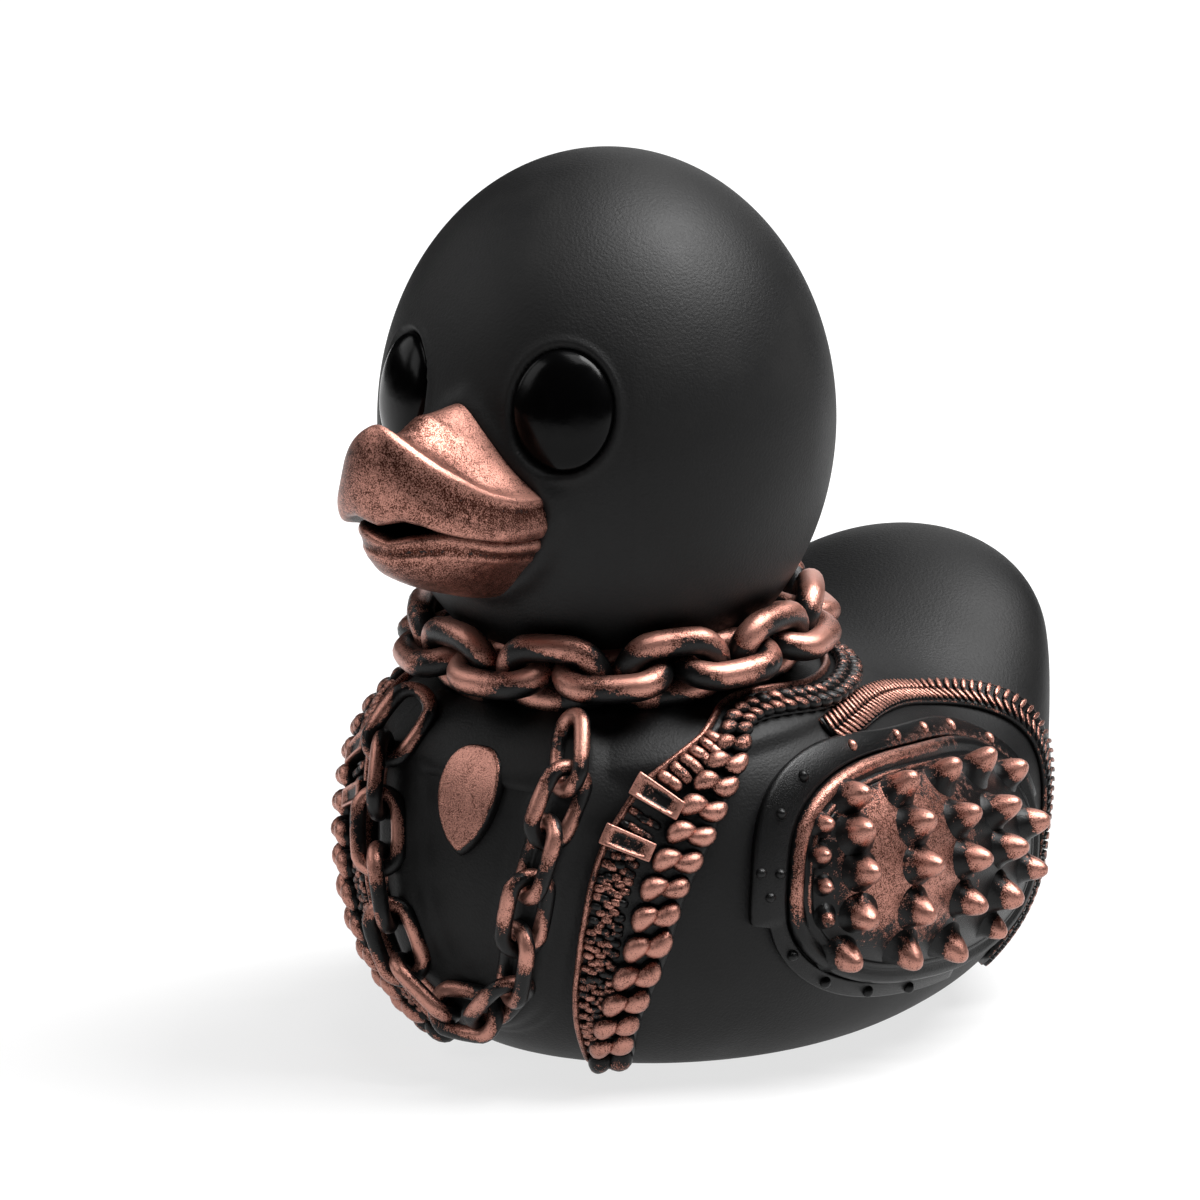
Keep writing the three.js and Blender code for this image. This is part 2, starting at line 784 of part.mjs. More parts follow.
// Rectangular bar with a sunk middle, turned across the zip.
function keeper(z) {
  const stations = lapelStations(clearance).filter((s) => s.share > lapelTurnShare);
  const station = stations.reduce((best, s) => (Math.abs(s.middle.z - z) < Math.abs(best.middle.z - z) ? s : best));
  const middle = (pipingWidth + keeperLength - station.width) / 2;
  const foot = zipSkin + zipBase + clearance;
  const turn = keeperTurn * degree;
  const place = (u, v) => {
    const across = middle + u * Math.cos(turn) + v * Math.sin(turn);
    const along = v * Math.cos(turn) - u * Math.sin(turn);
    const aim = station.middle.clone().addScaledVector(station.across, across).addScaledVector(station.along, -along);
    return onBody(aim.x, aim.y, aim.z);
  };
  const outline = (angle) => {
    const c = Math.cos(angle);
    const s = Math.sin(angle);
    const k = 1 / Math.max(Math.abs(c), Math.abs(s));
    return [(c * k * keeperLength) / 2, (s * k * keeperWidth) / 2];
  };
  const top = foot + keeperHeight;
  return drapedPad(place, 8, [
    [shrunk(outline, 0.5), foot],
    [outline, foot],
    [outline, top],
    [shrunk(outline, 0.7), top],
    [shrunk(outline, 0.6), top - keeperRecess],
  ]);
}

// Shield on the breast: rounded shoulders above, a point below.
function chestPlate() {
  const place = (u, v) => onBody(u, shoulderCentreY - shoulderHalfLength, plateZ + v);
  const outline = (angle) => {
    const c = Math.cos(angle);
    const s = Math.sin(angle);
    const width = plateHalfWidth * (1 + plateFlare * s) * (s < 0 ? 1 - platePoint * s * s : 1);
    return [c * Math.abs(c) ** plateRoundness * width, s * plateHalfHeight];
  };
  const top = clearance + plateThickness;
  return drapedPad(place, plateSides, [
    [shrunk(outline, 0.5), clearance],
    [outline, clearance],
    [outline, clearance + plateThickness / 2],
    [shrunk(outline, 0.9), top],
    [shrunk(outline, 0.45), top],
  ]);
}

// Flat ribbed chain: over the wing, round behind it and down to the underside.
function snakeChain() {
  const stations = stationsOn(snakeRoute, snakePitch / 2, () => snakeWidth);
  return drapedRibbon(stations, (width, i) => {
    const half = width / 2;
    const top = clearance + snakeThickness - (i % 2 ? snakeRib : 0);
    return [
      [half, clearance + snakeThickness / 2],
      [half / 2, top],
      [-half / 2, top],
      [-half, clearance + snakeThickness / 2],
      [-half, clearance],
      [half, clearance],
    ];
  });
}

// A place on the duck's left flank, from the middle of the wing: along its length to the rear, and up.
function onFlank(along, up) {
  const c = Math.cos(wingTilt * degree);
  const s = Math.sin(wingTilt * degree);
  const inside = new THREE.Vector3(0, wingY + along * c + up * s, wingZ + up * c - along * s);
  const point = skinPoint(bodyForm, inside, new THREE.Vector3(1, 0, 0), 0);
  return { point, out: skinNormal(bodyForm, point) };
}

function wingOutline(growAlong, growUp) {
  return (angle) => {
    const c = Math.cos(angle);
    const s = Math.sin(angle);
    const k = (Math.abs(c) ** wingSquareness + Math.abs(s) ** wingSquareness) ** (-1 / wingSquareness);
    return [c * k * (wingHalfLength + growAlong), s * k * (wingHalfHeight + growUp)];
  };
}

// The oval pad with its rolled rim.
function wingPad() {
  const edge = wingOutline(0, 0);
  const crest = wingOutline(-padRimWidth / 2, -padRimWidth / 2);
  const inner = wingOutline(-padRimWidth, -padRimWidth);
  const top = clearance + padThickness;
  return drapedPad(onFlank, roundSides, [
    ...padInnerRings.map((share) => [shrunk(edge, share), clearance]),
    [edge, clearance],
    [edge, top],
    [crest, top + padRimHeight],
    [inner, top],
    ...padInnerRings.map((share) => [shrunk(edge, share), top]).reverse(),
  ]);
}

// A place on the strap, from its inner edge to its outer edge.
function strapPlace(turn, share) {
  const [u, v] = wingOutline(clearance + share * strapFrontWidth, clearance + share * strapWidth)(turn);
  return onFlank(u, v);
}

// Riveted strap round the pad: over the top, down in front and back under it.
function wingStrap() {
  const turnAt = (share) => (strapStart + (strapEnd - strapStart) * share) * degree;
  const top = clearance + strapThickness;
  const ringAt = (turn) => {
    const corner = (share, height) => {
      const skin = strapPlace(turn, share);
      return skin.point.addScaledVector(skin.out, height);
    };
    return [corner(0, clearance), corner(0, top), corner(1, top), corner(1, clearance)];
  };
  const rings = [];
  for (let i = 0; i <= strapSteps; i++) rings.push(ringAt(turnAt(i / strapSteps)));
  const length = (turnAt(1) - turnAt(0)) * (wingHalfLength + wingHalfHeight) / 2;
  const rivets = Math.round(length / rivetPitch);
  let solid = solidFrom(loft(rings));
  for (let i = 1; i < rivets; i++) {
    solid = solid.add(rivet(strapPlace(turnAt(i / rivets), 0.5)));
  }
  return geometryFrom(solid);
}

function rivet(skin) {
  const head = new THREE.SphereGeometry(rivetRadius, studSides, studSides / 2);
  const at = skin.point.clone().addScaledVector(skin.out, clearance + strapThickness);
  head.translate(at.x, at.y, at.z);
  return solidFrom(head);
}

// A blunt stud that stands out from the skin, with its foot sunk in the plate.
function stud(skin, foot, share) {
  const profile = [
    new THREE.Vector2(0, -studPlateThickness / 2),
    new THREE.Vector2(studRadius * share, -studPlateThickness / 2),
    new THREE.Vector2(studRadius * share, 0),
    new THREE.Vector2(studTipRadius * share, (studHeight - studTipRadius) * share),
    new THREE.Vector2(0, studHeight * share),
  ];
  const geometry = new THREE.LatheGeometry(profile, studSides);
  const toSkin = new THREE.Quaternion().setFromUnitVectors(new THREE.Vector3(0, 1, 0), skin.out);
  geometry.applyQuaternion(toSkin);
  const at = skin.point.clone().addScaledVector(skin.out, foot);
  geometry.translate(at.x, at.y, at.z);
  return solidFrom(geometry);
}

// The plate in the middle of the pad, with rows of studs and a column of small ones in front.
function studPlate() {
  const inset = padRimWidth + clearance;
  const edge = wingOutline(-inset, -inset);
  const foot = clearance + padThickness + clearance;
  const top = foot + studPlateThickness;
  const plate = drapedPad(onFlank, roundSides, [
    ...padInnerRings.map((share) => [shrunk(edge, share), foot]),
    [edge, foot],
    [edge, top],
    ...padInnerRings.map((share) => [shrunk(edge, share), top]).reverse(),
  ]);
  let solid = solidFrom(plate);
  const halfLength = wingHalfLength - inset;
  const halfHeight = wingHalfHeight - inset;
  const add = (u, v, share) => {
    const across = Math.abs(u / halfLength) ** wingSquareness;
    const reach = (across + Math.abs(v / halfHeight) ** wingSquareness) ** (1 / wingSquareness);
    if (reach < 1 - (studRadius * share) / halfLength) solid = solid.add(stud(onFlank(u, v), top, share));
  };
  for (let row = -2; row <= 2; row++) {
    for (let column = -2; column <= 2; column++) add(column * studPitchAlong, row * studPitchUp, 1);
    add(studRadius - halfLength, (row - 0.5) * studPitchUp * studSmallShare, studSmallShare);
  }
  return geometryFrom(solid);
}

addPiece("body_shell", bodyShell(), blackPaint);
addPiece("head_shell", headShell(), blackPaint);
addPiece("base_plug", plug(), blackPaint);
addPiece("left_eye", eyeForm(1, 0), glossBlack);
addPiece("right_eye", eyeForm(-1, 0), glossBlack);
addPiece("upper_beak", onFace(upperBill()), copperPaint);
addPiece("lower_beak", onFace(lowerBill()), copperPaint);
addPiece("chest_plate", chestPlate(), copperPaint);
const neckTurns = [neckFlatTurn, neckUprightTurn];
addChain("neck_link", 2 * neckChainPairs, true, neckChainWire, neckChainBend, neckTurns, neckRoute);
const chestTurns = [chestChainTurn, -chestChainTurn];
addChain("chest_link", chestChainLinks, false, chestChainWire, chestChainBend, chestTurns, chestRoute);
addPair("lapel", lapel(), blackPaint);
addPair("zip", zip(), copperPaint);
addPair("zip_keeper_upper", keeper(keeperUpperZ), copperPaint);
addPair("zip_keeper_lower", keeper(keeperLowerZ), copperPaint);
addPair("curb_chain", curbChain(), copperPaint);
addPair("snake_chain", snakeChain(), copperPaint);
addPair("wing_strap", wingStrap(), blackPaint);
addPair("wing_pad", wingPad(), blackPaint);
addPair("stud_plate", studPlate(), copperPaint);

export default duck;
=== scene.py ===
# %% [markdown]
# # A cast duck ornament in black and drybrushed copper
# The ornament is a small duck cast in resin, about nine centimetres tall. Its trim, the chains, jacket
# edges and studded wing pads, is cast with it, painted black all over, and then brushed with copper paint
# that only catches the raised edges.
# The packed model gives every piece its place in metres, so it is loaded first and kept as the frame that
# the finer pieces are fitted to.

# %% Load the packed model
import json
from math import cos, pi, radians, sin, tan

import bpy
import numpy as np
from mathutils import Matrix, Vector

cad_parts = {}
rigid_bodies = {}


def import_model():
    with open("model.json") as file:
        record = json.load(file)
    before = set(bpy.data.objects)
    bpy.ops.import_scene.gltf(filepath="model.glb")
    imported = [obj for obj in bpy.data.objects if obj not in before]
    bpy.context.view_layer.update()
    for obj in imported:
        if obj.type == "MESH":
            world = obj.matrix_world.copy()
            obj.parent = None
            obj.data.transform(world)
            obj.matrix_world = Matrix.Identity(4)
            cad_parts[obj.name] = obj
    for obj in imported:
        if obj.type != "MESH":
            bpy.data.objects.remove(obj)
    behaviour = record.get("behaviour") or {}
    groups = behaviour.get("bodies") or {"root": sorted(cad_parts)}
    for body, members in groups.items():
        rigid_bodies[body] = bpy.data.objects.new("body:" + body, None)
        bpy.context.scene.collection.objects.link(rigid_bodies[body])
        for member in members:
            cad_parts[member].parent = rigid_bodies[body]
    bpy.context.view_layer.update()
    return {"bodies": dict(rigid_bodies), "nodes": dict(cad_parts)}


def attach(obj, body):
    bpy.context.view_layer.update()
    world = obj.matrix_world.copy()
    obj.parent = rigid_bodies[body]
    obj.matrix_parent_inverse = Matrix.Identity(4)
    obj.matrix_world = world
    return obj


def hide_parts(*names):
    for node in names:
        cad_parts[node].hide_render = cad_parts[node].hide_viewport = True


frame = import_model()
nodes = frame["nodes"]
body_name = list(frame["bodies"])[0]
bpy.ops.object.select_all(action="DESELECT")
print(len(nodes), "CAD nodes, all on body", body_name)

# %% [markdown]
# ## Camera
# A long lens from far away keeps the duck's proportions as a product picture does. The camera looks at the
# duck from the front of its left side, a little from above. Its place is worked out from two angles and a
# distance, so that any of them can be changed alone.

# %% Place the camera
scene = bpy.context.scene
MM = 0.001
VIEW_TURN, VIEW_RISE, VIEW_DISTANCE = radians(37.5), radians(11), 0.62
VIEW_TARGET = Vector((-8.41, -6.45, 42.0)) * MM
FOCAL_LENGTH, SENSOR_WIDTH, NEAREST_SEEN = 186, 36, 0.01


def way_to(turn, rise):
    """The way from the duck to a place, turned from its front towards its left and raised."""
    return Vector((sin(turn) * cos(rise), -cos(turn) * cos(rise), sin(rise)))


def hang(name, data, middle, way, far):
    """Hangs a camera or a lamp some way off a point and aims it back there."""
    obj = bpy.data.objects.new(name, data)
    obj.location = middle + way * far
    obj.rotation_euler = way.to_track_quat("Z", "Y").to_euler()
    scene.collection.objects.link(obj)
    return obj


lens = bpy.data.cameras.new("long lens")
lens.lens = FOCAL_LENGTH
lens.sensor_width = SENSOR_WIDTH
lens.clip_start = NEAREST_SEEN
scene.camera = hang("camera", lens, VIEW_TARGET, way_to(VIEW_TURN, VIEW_RISE), VIEW_DISTANCE)
scene.view_settings.view_transform = "Standard"
print("Camera at", [round(v, 4) for v in scene.camera.location])

# %% [markdown]
# ## Nodes
# Every paint here is a small net of shader nodes. Adding a node and joining its sockets takes several lines
# each time, so a class keeps one material and does both in short calls.

# %% Write a short way to build materials
def set_sockets(node, **values):
    """Sets a node's inputs by name, with an underscore for each space."""
    for name, value in values.items():
        node.inputs[name.replace("_", " ")].default_value = value


class PaintNodes:
    """One material, with short calls that add nodes and join them."""

    def __init__(self, name, **shader_values):
        self.material = bpy.data.materials.new(name)
        self.material.use_nodes = True
        self.tree = self.material.node_tree
        self.shader = self.tree.nodes["Principled BSDF"]
        set_sockets(self.shader, **shader_values)

    def add(self, kind, **settings):
        node = self.tree.nodes.new("ShaderNode" + kind)
        for key, value in settings.items():
            setattr(node, key, value)
        return node

    def join(self, out, into):
        self.tree.links.new(out, into)

    def feed(self, name, out):
        """Joins a value to one of the shader's own inputs."""
        self.join(out, self.shader.inputs[name])

    def fill(self, slots, values):
        """Fills input sockets, each with a plain value or from another node."""
        for slot, value in zip(slots, values):
            if isinstance(value, (int, float, tuple)):
                slot.default_value = value
            else:
                self.join(value, slot)

    def noise(self, scale, detail=2.0, stretch=(1, 1, 1)):
        """Noise over the object's own metres. Scale is in spots per metre."""
        turn = self.add("Mapping")
        set_sockets(turn, Scale=stretch)
        self.join(self.add("TexCoord").outputs["Object"], turn.inputs["Vector"])
        grain = self.add("TexNoise")
        set_sockets(grain, Scale=scale, Detail=detail)
        self.join(turn.outputs["Vector"], grain.inputs["Vector"])
        return grain.outputs["Fac"]

    def maths(self, operation, a, b):
        node = self.add("Math", operation=operation)
        self.fill(node.inputs, (a, b))
        return node.outputs[0]

    def swing(self, noise, weight):
        """Noise that swings evenly round zero."""
        return self.maths("MULTIPLY", self.maths("SUBTRACT", noise, 0.5), weight)

    def ranged(self, value, low, high, to_low=0.0, to_high=1.0, curve="SMOOTHSTEP"):
        node = self.add("MapRange", interpolation_type=curve)
        set_sockets(node, From_Min=low, From_Max=high, To_Min=to_low, To_Max=to_high)
        self.join(value, node.inputs["Value"])
        return node.outputs["Result"]

    def blend(self, amount, first, second):
        """Mixes two colours, each a colour or a socket."""
        node = self.add("Mix", data_type="RGBA")
        self.join(amount, node.inputs["Factor"])
        self.fill((node.inputs[6], node.inputs[7]), (first, second))
        return node.outputs[2]

    def bump(self, height, strength, depth):
        node = self.add("Bump")
        set_sockets(node, Strength=strength, Distance=depth)
        self.join(height, node.inputs["Height"])
        self.feed("Normal", node.outputs["Normal"])


print("Calls for a material:", ", ".join(name for name in vars(PaintNodes) if not name.startswith("_")))

# %% [markdown]
# ## Light and floor
# The picture is a white studio shot of a dark object. The brightest light is a broad soft one, high up on
# the duck's left and a little behind it, with weak ones overhead, in front and at its right. Matt black
# paint shows what it faces, so a black cloth that the camera doesn't see hangs round the room, open only
# in a strip behind the duck and overhead. It keeps the paint dark, and the duck's outline stands out on
# the white. The floor glows for the camera and in reflections, more further out, so it is white there and
# keeps a soft shadow under the duck. The dimmer glow near the duck is a painted shade round it, which the
# duck's underside also reflects.

# %% Add the lamps, the room and the floor
LAMPS = (
    ("high soft light", 125, 60, 0.36, 7.6),
    ("ceiling light", 60, 72, 0.3, 1.3),
    ("front fill light", -40, 35, 0.3, 0.7),
    ("side fill light", -80, 30, 0.3, 0.4),
)
ROOM_MIDDLE, LAMP_FAR = Vector((0, -0.005, 0.045)), 0.62
for name, turn, rise, size, power in LAMPS:
    light = bpy.data.lights.new(name, "AREA")
    light.size = size
    light.energy = power
    hang(name, light, ROOM_MIDDLE, way_to(radians(turn), radians(rise)), LAMP_FAR)
WHITE = (1, 1, 1, 1)
world = bpy.data.worlds.new("white room")
scene.world = world
world.use_nodes = True
set_sockets(world.node_tree.nodes["Background"], Color=WHITE, Strength=1.0)

CLOTH_FIRST, CLOTH_LAST, CLOTH_TOP, CLOTH_FAR = -138, 196, 76, 1.3
CLOTH_TURNS, CLOTH_RISES, CLOTH_BLACK = 61, 15, (0.004, 0.004, 0.004, 1)
turns = np.radians(np.linspace(CLOTH_FIRST, CLOTH_LAST, CLOTH_TURNS))
rises = np.radians(np.linspace(0, CLOTH_TOP, CLOTH_RISES))
weave = [way_to(turn, rise) * CLOTH_FAR for rise in rises for turn in turns]
patches = []
for start in range(0, (CLOTH_RISES - 1) * CLOTH_TURNS, CLOTH_TURNS):
    for i in range(start, start + CLOTH_TURNS - 1):
        patches.append((i, i + 1, i + 1 + CLOTH_TURNS, i + CLOTH_TURNS))
cloth_mesh = bpy.data.meshes.new("black cloth")
cloth_mesh.from_pydata(weave, [], patches)
cloth = bpy.data.objects.new("black_cloth", cloth_mesh)
scene.collection.objects.link(cloth)
cloth.visible_camera = False
cloth_paint = PaintNodes("black cloth", Base_Color=CLOTH_BLACK, Roughness=1.0, Specular_IOR_Level=0.0)
cloth_mesh.materials.append(cloth_paint.material)

FLOOR_SIZE, FLOOR_GREY = 3.6, (0.22, 0.22, 0.22, 1)
# The floor's glow is dimmer near the duck: a painted shade round it.
GLOW_START, GLOW_END, SHADED_GLOW_NEAR, GLOW_FAR = 0.06, 0.3, 0.74, 1.02
bpy.ops.mesh.primitive_plane_add(size=FLOOR_SIZE)
floor = bpy.context.object
floor.name = "floor"
floor_paint = PaintNodes(
    "white floor", Base_Color=FLOOR_GREY, Roughness=1.0, Specular_IOR_Level=0.0, Emission_Color=WHITE
)
floor.data.materials.append(floor_paint.material)
rays = floor_paint.add("LightPath")
seen = rays.outputs["Is Camera Ray"]
for kind in ("Is Glossy Ray", "Is Transmission Ray"):
    seen = floor_paint.maths("MAXIMUM", seen, rays.outputs[kind])
away = floor_paint.add("VectorMath", operation="LENGTH")
floor_paint.join(floor_paint.add("TexCoord").outputs["Object"], away.inputs[0])
# Dimmer near the duck and brighter further out: painted shade round the duck.
glow_with_painted_shade = floor_paint.ranged(away.outputs["Value"], GLOW_START, GLOW_END, SHADED_GLOW_NEAR, GLOW_FAR, "LINEAR")
floor_paint.feed("Emission Strength", floor_paint.maths("MULTIPLY", seen, glow_with_painted_shade))

# %% [markdown]
# ## Paint
# The whole ornament is sprayed matt black, with a fine orange-peel grain. Copper paint is then dragged over
# it with a nearly dry brush, so it sits as grains on edges and crests and leaves the hollows black. Each
# piece carries a value called brush at every point, high where the brush reached. The material compares it
# with fine noise, which gives the broken edge of real drybrushing.

# %% Make the paints
BLACK, WORN_BLACK = (0.0032, 0.0032, 0.0034, 1), (0.0075, 0.0073, 0.0072, 1)
COPPER, EDGE_AND_SHADE_COPPER = (0.57, 0.272, 0.212, 1), (0.05, 0.013, 0.007, 1)
SHINE, METAL, GRAIN_DEPTH, SPECK_DEPTH = 0.26, 0.8, 0.00009, 0.00007
GRAINS, RUBS, SPECKS, RAGS, PATCHES = 3600, 90, 7500, 1500, 330


def black_paint(name):
    """Matt black with a fine spray grain and faint rubbed patches."""
    paint = PaintNodes(name, Specular_IOR_Level=SHINE)
    grain = paint.noise(GRAINS, 3)
    rubbed = paint.noise(RUBS, 5)
    paint.feed("Base Color", paint.blend(paint.ranged(rubbed, 0.45, 0.75), BLACK, WORN_BLACK))
    roughness = paint.ranged(rubbed, 0.3, 0.7, 0.46, 0.54)
    paint.feed("Roughness", paint.maths("ADD", roughness, paint.maths("MULTIPLY", grain, 0.1)))
    paint.bump(grain, 0.5, GRAIN_DEPTH)
    return paint.material


def brushed_copper(name, stretch=(1, 1, 1), tone=(0.24, 1.04)):
    """Copper paint dragged over black: full where the brush value is high, ragged where it runs out, and
    darker where it is low, which on the bill is painted shade.
    """
    paint = PaintNodes(name, Specular_IOR_Level=SHINE)
    level = paint.add("Attribute", attribute_name="brush").outputs["Fac"]
    speck = paint.noise(SPECKS, 2)
    ragged, patch = paint.noise(RAGS, 4, stretch), paint.noise(PATCHES, 3)
    for noise, weight in ((ragged, 0.75), (speck, 0.45), (patch, 0.5)):
        level = paint.maths("ADD", level, paint.swing(noise, weight))
    cover = paint.ranged(level, 0.4, 0.5)
    # The copper's tone follows the brush value and a fine grain. On the bill the low values paint shade into
    # the hollows; on the trim they make the copper darker near the brush's edge.
    tone_with_painted_shade = paint.ranged(paint.maths("ADD", level, paint.swing(speck, 1.6)), *tone)
    paint.feed("Base Color", paint.blend(cover, BLACK, paint.blend(tone_with_painted_shade, EDGE_AND_SHADE_COPPER, COPPER)))
    paint.feed("Metallic", paint.maths("MULTIPLY", cover, METAL))
    paint.feed("Roughness", paint.ranged(speck, 0.3, 0.7, 0.3, 0.42))
    paint.bump(paint.maths("ADD", paint.maths("MULTIPLY", cover, 0.35), speck), 0.6, SPECK_DEPTH)
    return paint.material


matt_black = black_paint("matt black paint")
copper_over_black = brushed_copper("copper drybrushed over black")
# The bill's copper, whose darker tone in its hollows is painted shade.
solid_copper = brushed_copper("copper painted solid", tone=(0.5, 1.3))
print("Paints:", ", ".join(paint.name for paint in (matt_black, copper_over_black, solid_copper)))

# %% [markdown]
# ## Body and head forms
# The duck's body is a belly, the shoulders that carry the neck, and an upturned tail, run together with
# soft fillets. The head is an egg on a short neck. Both are written here as functions that are negative
# inside and zero on the skin, in millimetres, so that a skin, and everything that lies on it, can be found
# from the same form.

# %% Write the forms
HEAD_CENTRE = np.array([0, -16.3, 62.6])
HEAD_HALF = np.array([22.2, 22.6, 26.4])
BODY_CENTRE = np.array([0, 2.9, 20.0])
BODY_HALF = np.array([28.8, 38.4, 18.5])
NECK_RADIUS, NECK_SEAT = 12.9, 38.7
TAIL_CENTRE, TAIL_HALF, TAIL_TILT = (0, 28, 29.7), (19.6, 19.3, 11), radians(38)
LOBE_BLEND, BASE_EDGE, NECK_BLEND = 7, 1.5, 3
# Each lobe: its middle's Y and Z, half its width and length, its rise and drop, and its fullness.
BELLY, SHOULDERS = (2.9, 17, 28.8, 38.4, 18.5, 20, 2.3), (-13.6, 27, 25.2, 23.2, 12.4, 24, 2.5)


def smooth_min(a, b, size):
    """The smaller of two distances, with a fillet where they meet."""
    h = np.clip(0.5 + 0.5 * (b - a) / size, 0, 1)
    return b + (a - b) * h - size * h * (1 - h)


def lobe(p, centre_y, centre_z, half_width, half_length, rise, drop, fullness):
    """One rounded lobe of the body, squarer the fuller it is."""
    plan = np.hypot(p[:, 0] / half_width, (p[:, 1] - centre_y) / half_length)
    height = p[:, 2] - centre_z
    up = np.abs(height) / np.where(height > 0, rise, drop)
    return ((plan**fullness + up**fullness) ** (1 / fullness) - 1) * min(half_width, rise)


def body_form(p):
    belly, shoulders = lobe(p, *BELLY), lobe(p, *SHOULDERS)
    y, z = p[:, 1] - TAIL_CENTRE[1], p[:, 2] - TAIL_CENTRE[2]
    along = (y * cos(TAIL_TILT) + z * sin(TAIL_TILT)) / TAIL_HALF[1]
    over = (z * cos(TAIL_TILT) - y * sin(TAIL_TILT)) / TAIL_HALF[2]
    tail = (np.sqrt((p[:, 0] / TAIL_HALF[0]) ** 2 + along**2 + over**2) - 1) * TAIL_HALF[2]
    upper = smooth_min(smooth_min(belly, shoulders, LOBE_BLEND), tail, LOBE_BLEND)
    return -smooth_min(-upper, p[:, 2], BASE_EDGE)


def head_form(p):
    egg = (np.sqrt((((p - HEAD_CENTRE) / HEAD_HALF) ** 2).sum(1)) - 1) * HEAD_HALF[0]
    neck = np.hypot(p[:, 0], p[:, 1] - HEAD_CENTRE[1]) - NECK_RADIUS
    neck = np.maximum(neck, p[:, 2] - HEAD_CENTRE[2])
    return np.maximum(smooth_min(egg, neck, NECK_BLEND), NECK_SEAT - p[:, 2])


def skin_points(form, starts, aims, reach=90.0, halvings=34):
    """Where rays from inner points leave a form, found by halving."""
    near = np.zeros(len(aims))
    far = np.full(len(aims), reach)
    for _ in range(halvings):
        half = (near + far) / 2
        inside = form(starts + aims * half[:, None]) < 0
        near = np.where(inside, half, near)
        far = np.where(inside, far, half)
    return starts + aims * near[:, None]


def skin_normals(form, p, step=0.05):
    slopes = []
    for axis in np.eye(3) * step:
        slopes.append(form(p + axis) - form(p - axis))
    n = np.stack(slopes, 1)
    return n / np.linalg.norm(n, axis=1)[:, None]


def unit(v):
    return v / np.linalg.norm(v, axis=-1, keepdims=True)


def ease(x, low, high):
    """Goes softly from 0 to 1 as x goes from low to high."""
    t = np.clip((np.asarray(x, float) - low) / (high - low), 0, 1)
    return t * t * (3 - 2 * t)


def on_body(p):
    """The body's skin under or over each point, and the way out of it."""
    aims = unit(p - BODY_CENTRE)
    skin = skin_points(body_form, np.broadcast_to(BODY_CENTRE, p.shape), aims)
    return skin, skin_normals(body_form, skin)


top = skin_points(head_form, HEAD_CENTRE[None], np.array([[0.0, 0, 1]]))
print("Top of the head at", top.round(2)[0], "mm")

# %% [markdown]
# ## Skins
# A cast shell has no seams or corners. A cube is subdivided evenly, and each of its points is moved out
# along its own ray until it meets the skin. A sphere would do too, but it crowds its faces at two poles,
# and a cube keeps them even. The head also gets its eye sockets and the soft welt that was modelled round
# the bill.

# %% Blow cubes up into the body and the head
def get_points(obj, kind="co"):
    """The places of a piece's points, or another value of three numbers, such as their normals."""
    co = np.empty(len(obj.data.vertices) * 3)
    obj.data.vertices.foreach_get(kind, co)
    return co.reshape(-1, 3)


def set_points(obj, co):
    obj.data.vertices.foreach_set("co", np.ascontiguousarray(co, dtype=np.float64).ravel())
    obj.data.update()


def set_brush(obj, values):
    """How well the copper brush reached each point, from about 0 in hollows to about 1 on crests."""
    data = obj.data
    layer = data.attributes.get("brush") or data.attributes.new("brush", "FLOAT", "POINT")
    layer.data.foreach_set("value", np.ascontiguousarray(values, dtype=np.float32))


def smooth_faces(obj):
    obj.data.polygons.foreach_set("use_smooth", [True] * len(obj.data.polygons))
    obj.data.update()


def finish_piece(obj, name, material, slot, *replaced):
    """Names a piece, paints it, and puts it on the duck in place of its CAD nodes."""
    obj.name = name
    obj.data.name = name
    obj.data.materials.clear()
    obj.data.materials.append(material)
    smooth_faces(obj)
    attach(obj, body_name)
    if replaced:
        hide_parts(*replaced)
    obj.select_set(False)


def divided_cube(size, cuts, roundness=0.0):
    """A cube whose faces are divided evenly, and drawn towards a ball if it has some roundness."""
    bpy.ops.mesh.primitive_cube_add(size=size)
    bpy.ops.object.mode_set(mode="EDIT")
    bpy.ops.mesh.subdivide(number_cuts=cuts)
    if roundness:
        bpy.ops.transform.tosphere(value=roundness)
    bpy.ops.object.mode_set(mode="OBJECT")
    return bpy.context.object


def blown_cube(centre, half, form, cuts):
    """An even net of faces on a form: a cube whose points are moved out to the skin."""
    obj = divided_cube(2, cuts)
    aims = unit(np.tan(get_points(obj) * pi / 4) * half)
    skin = skin_points(form, np.broadcast_to(centre, aims.shape), aims)
    return obj, skin


BODY_CUTS, HEAD_CUTS = 118, 110
body, skin = blown_cube(BODY_CENTRE, BODY_HALF, body_form, BODY_CUTS)
set_points(body, skin * MM)
finish_piece(body, "duck_body", matt_black, "black_paint", "body_shell")
print("Body:", len(body.data.polygons), "faces")

# %% [markdown]
# The eyes sit in oval sockets with a fine raised lip. The welt round the bill is a soft roll of the same
# casting. Both are small heights added along the skin's own way out, worked out from how far each point
# lies from the oval or from the bill's outline.

# %% Shape the head's sockets and the welt round the bill
EYE_TURN, EYE_RISE = radians(26.4), 4.2
EYE_HALF = np.array([4.6, 5.5])
SOCKET_DEPTH, SOCKET_EDGE, SOCKET_SLOPE = 0.9, 1.12, 0.1
LIP_HEIGHT, LIP_MIDDLE, LIP_WIDTH = 0.16, 1.18, 0.06
WELT_HEIGHT, WELT_WIDTH, FACE_Y, EYE_REACH = 0.75, 1.15, -28, -6
WELT_LINE = np.array([
    [0, 67.0], [1.6, 66.1], [3.2, 64.3], [4.7, 62.7], [6.3, 61.2], [7.8, 59.9], [8.9, 58.4], [9.1, 57.0],
    [8.7, 55.6], [8.0, 53.9], [6.9, 52.2], [5.0, 50.4], [2.6, 49.0], [0, 48.5],
])


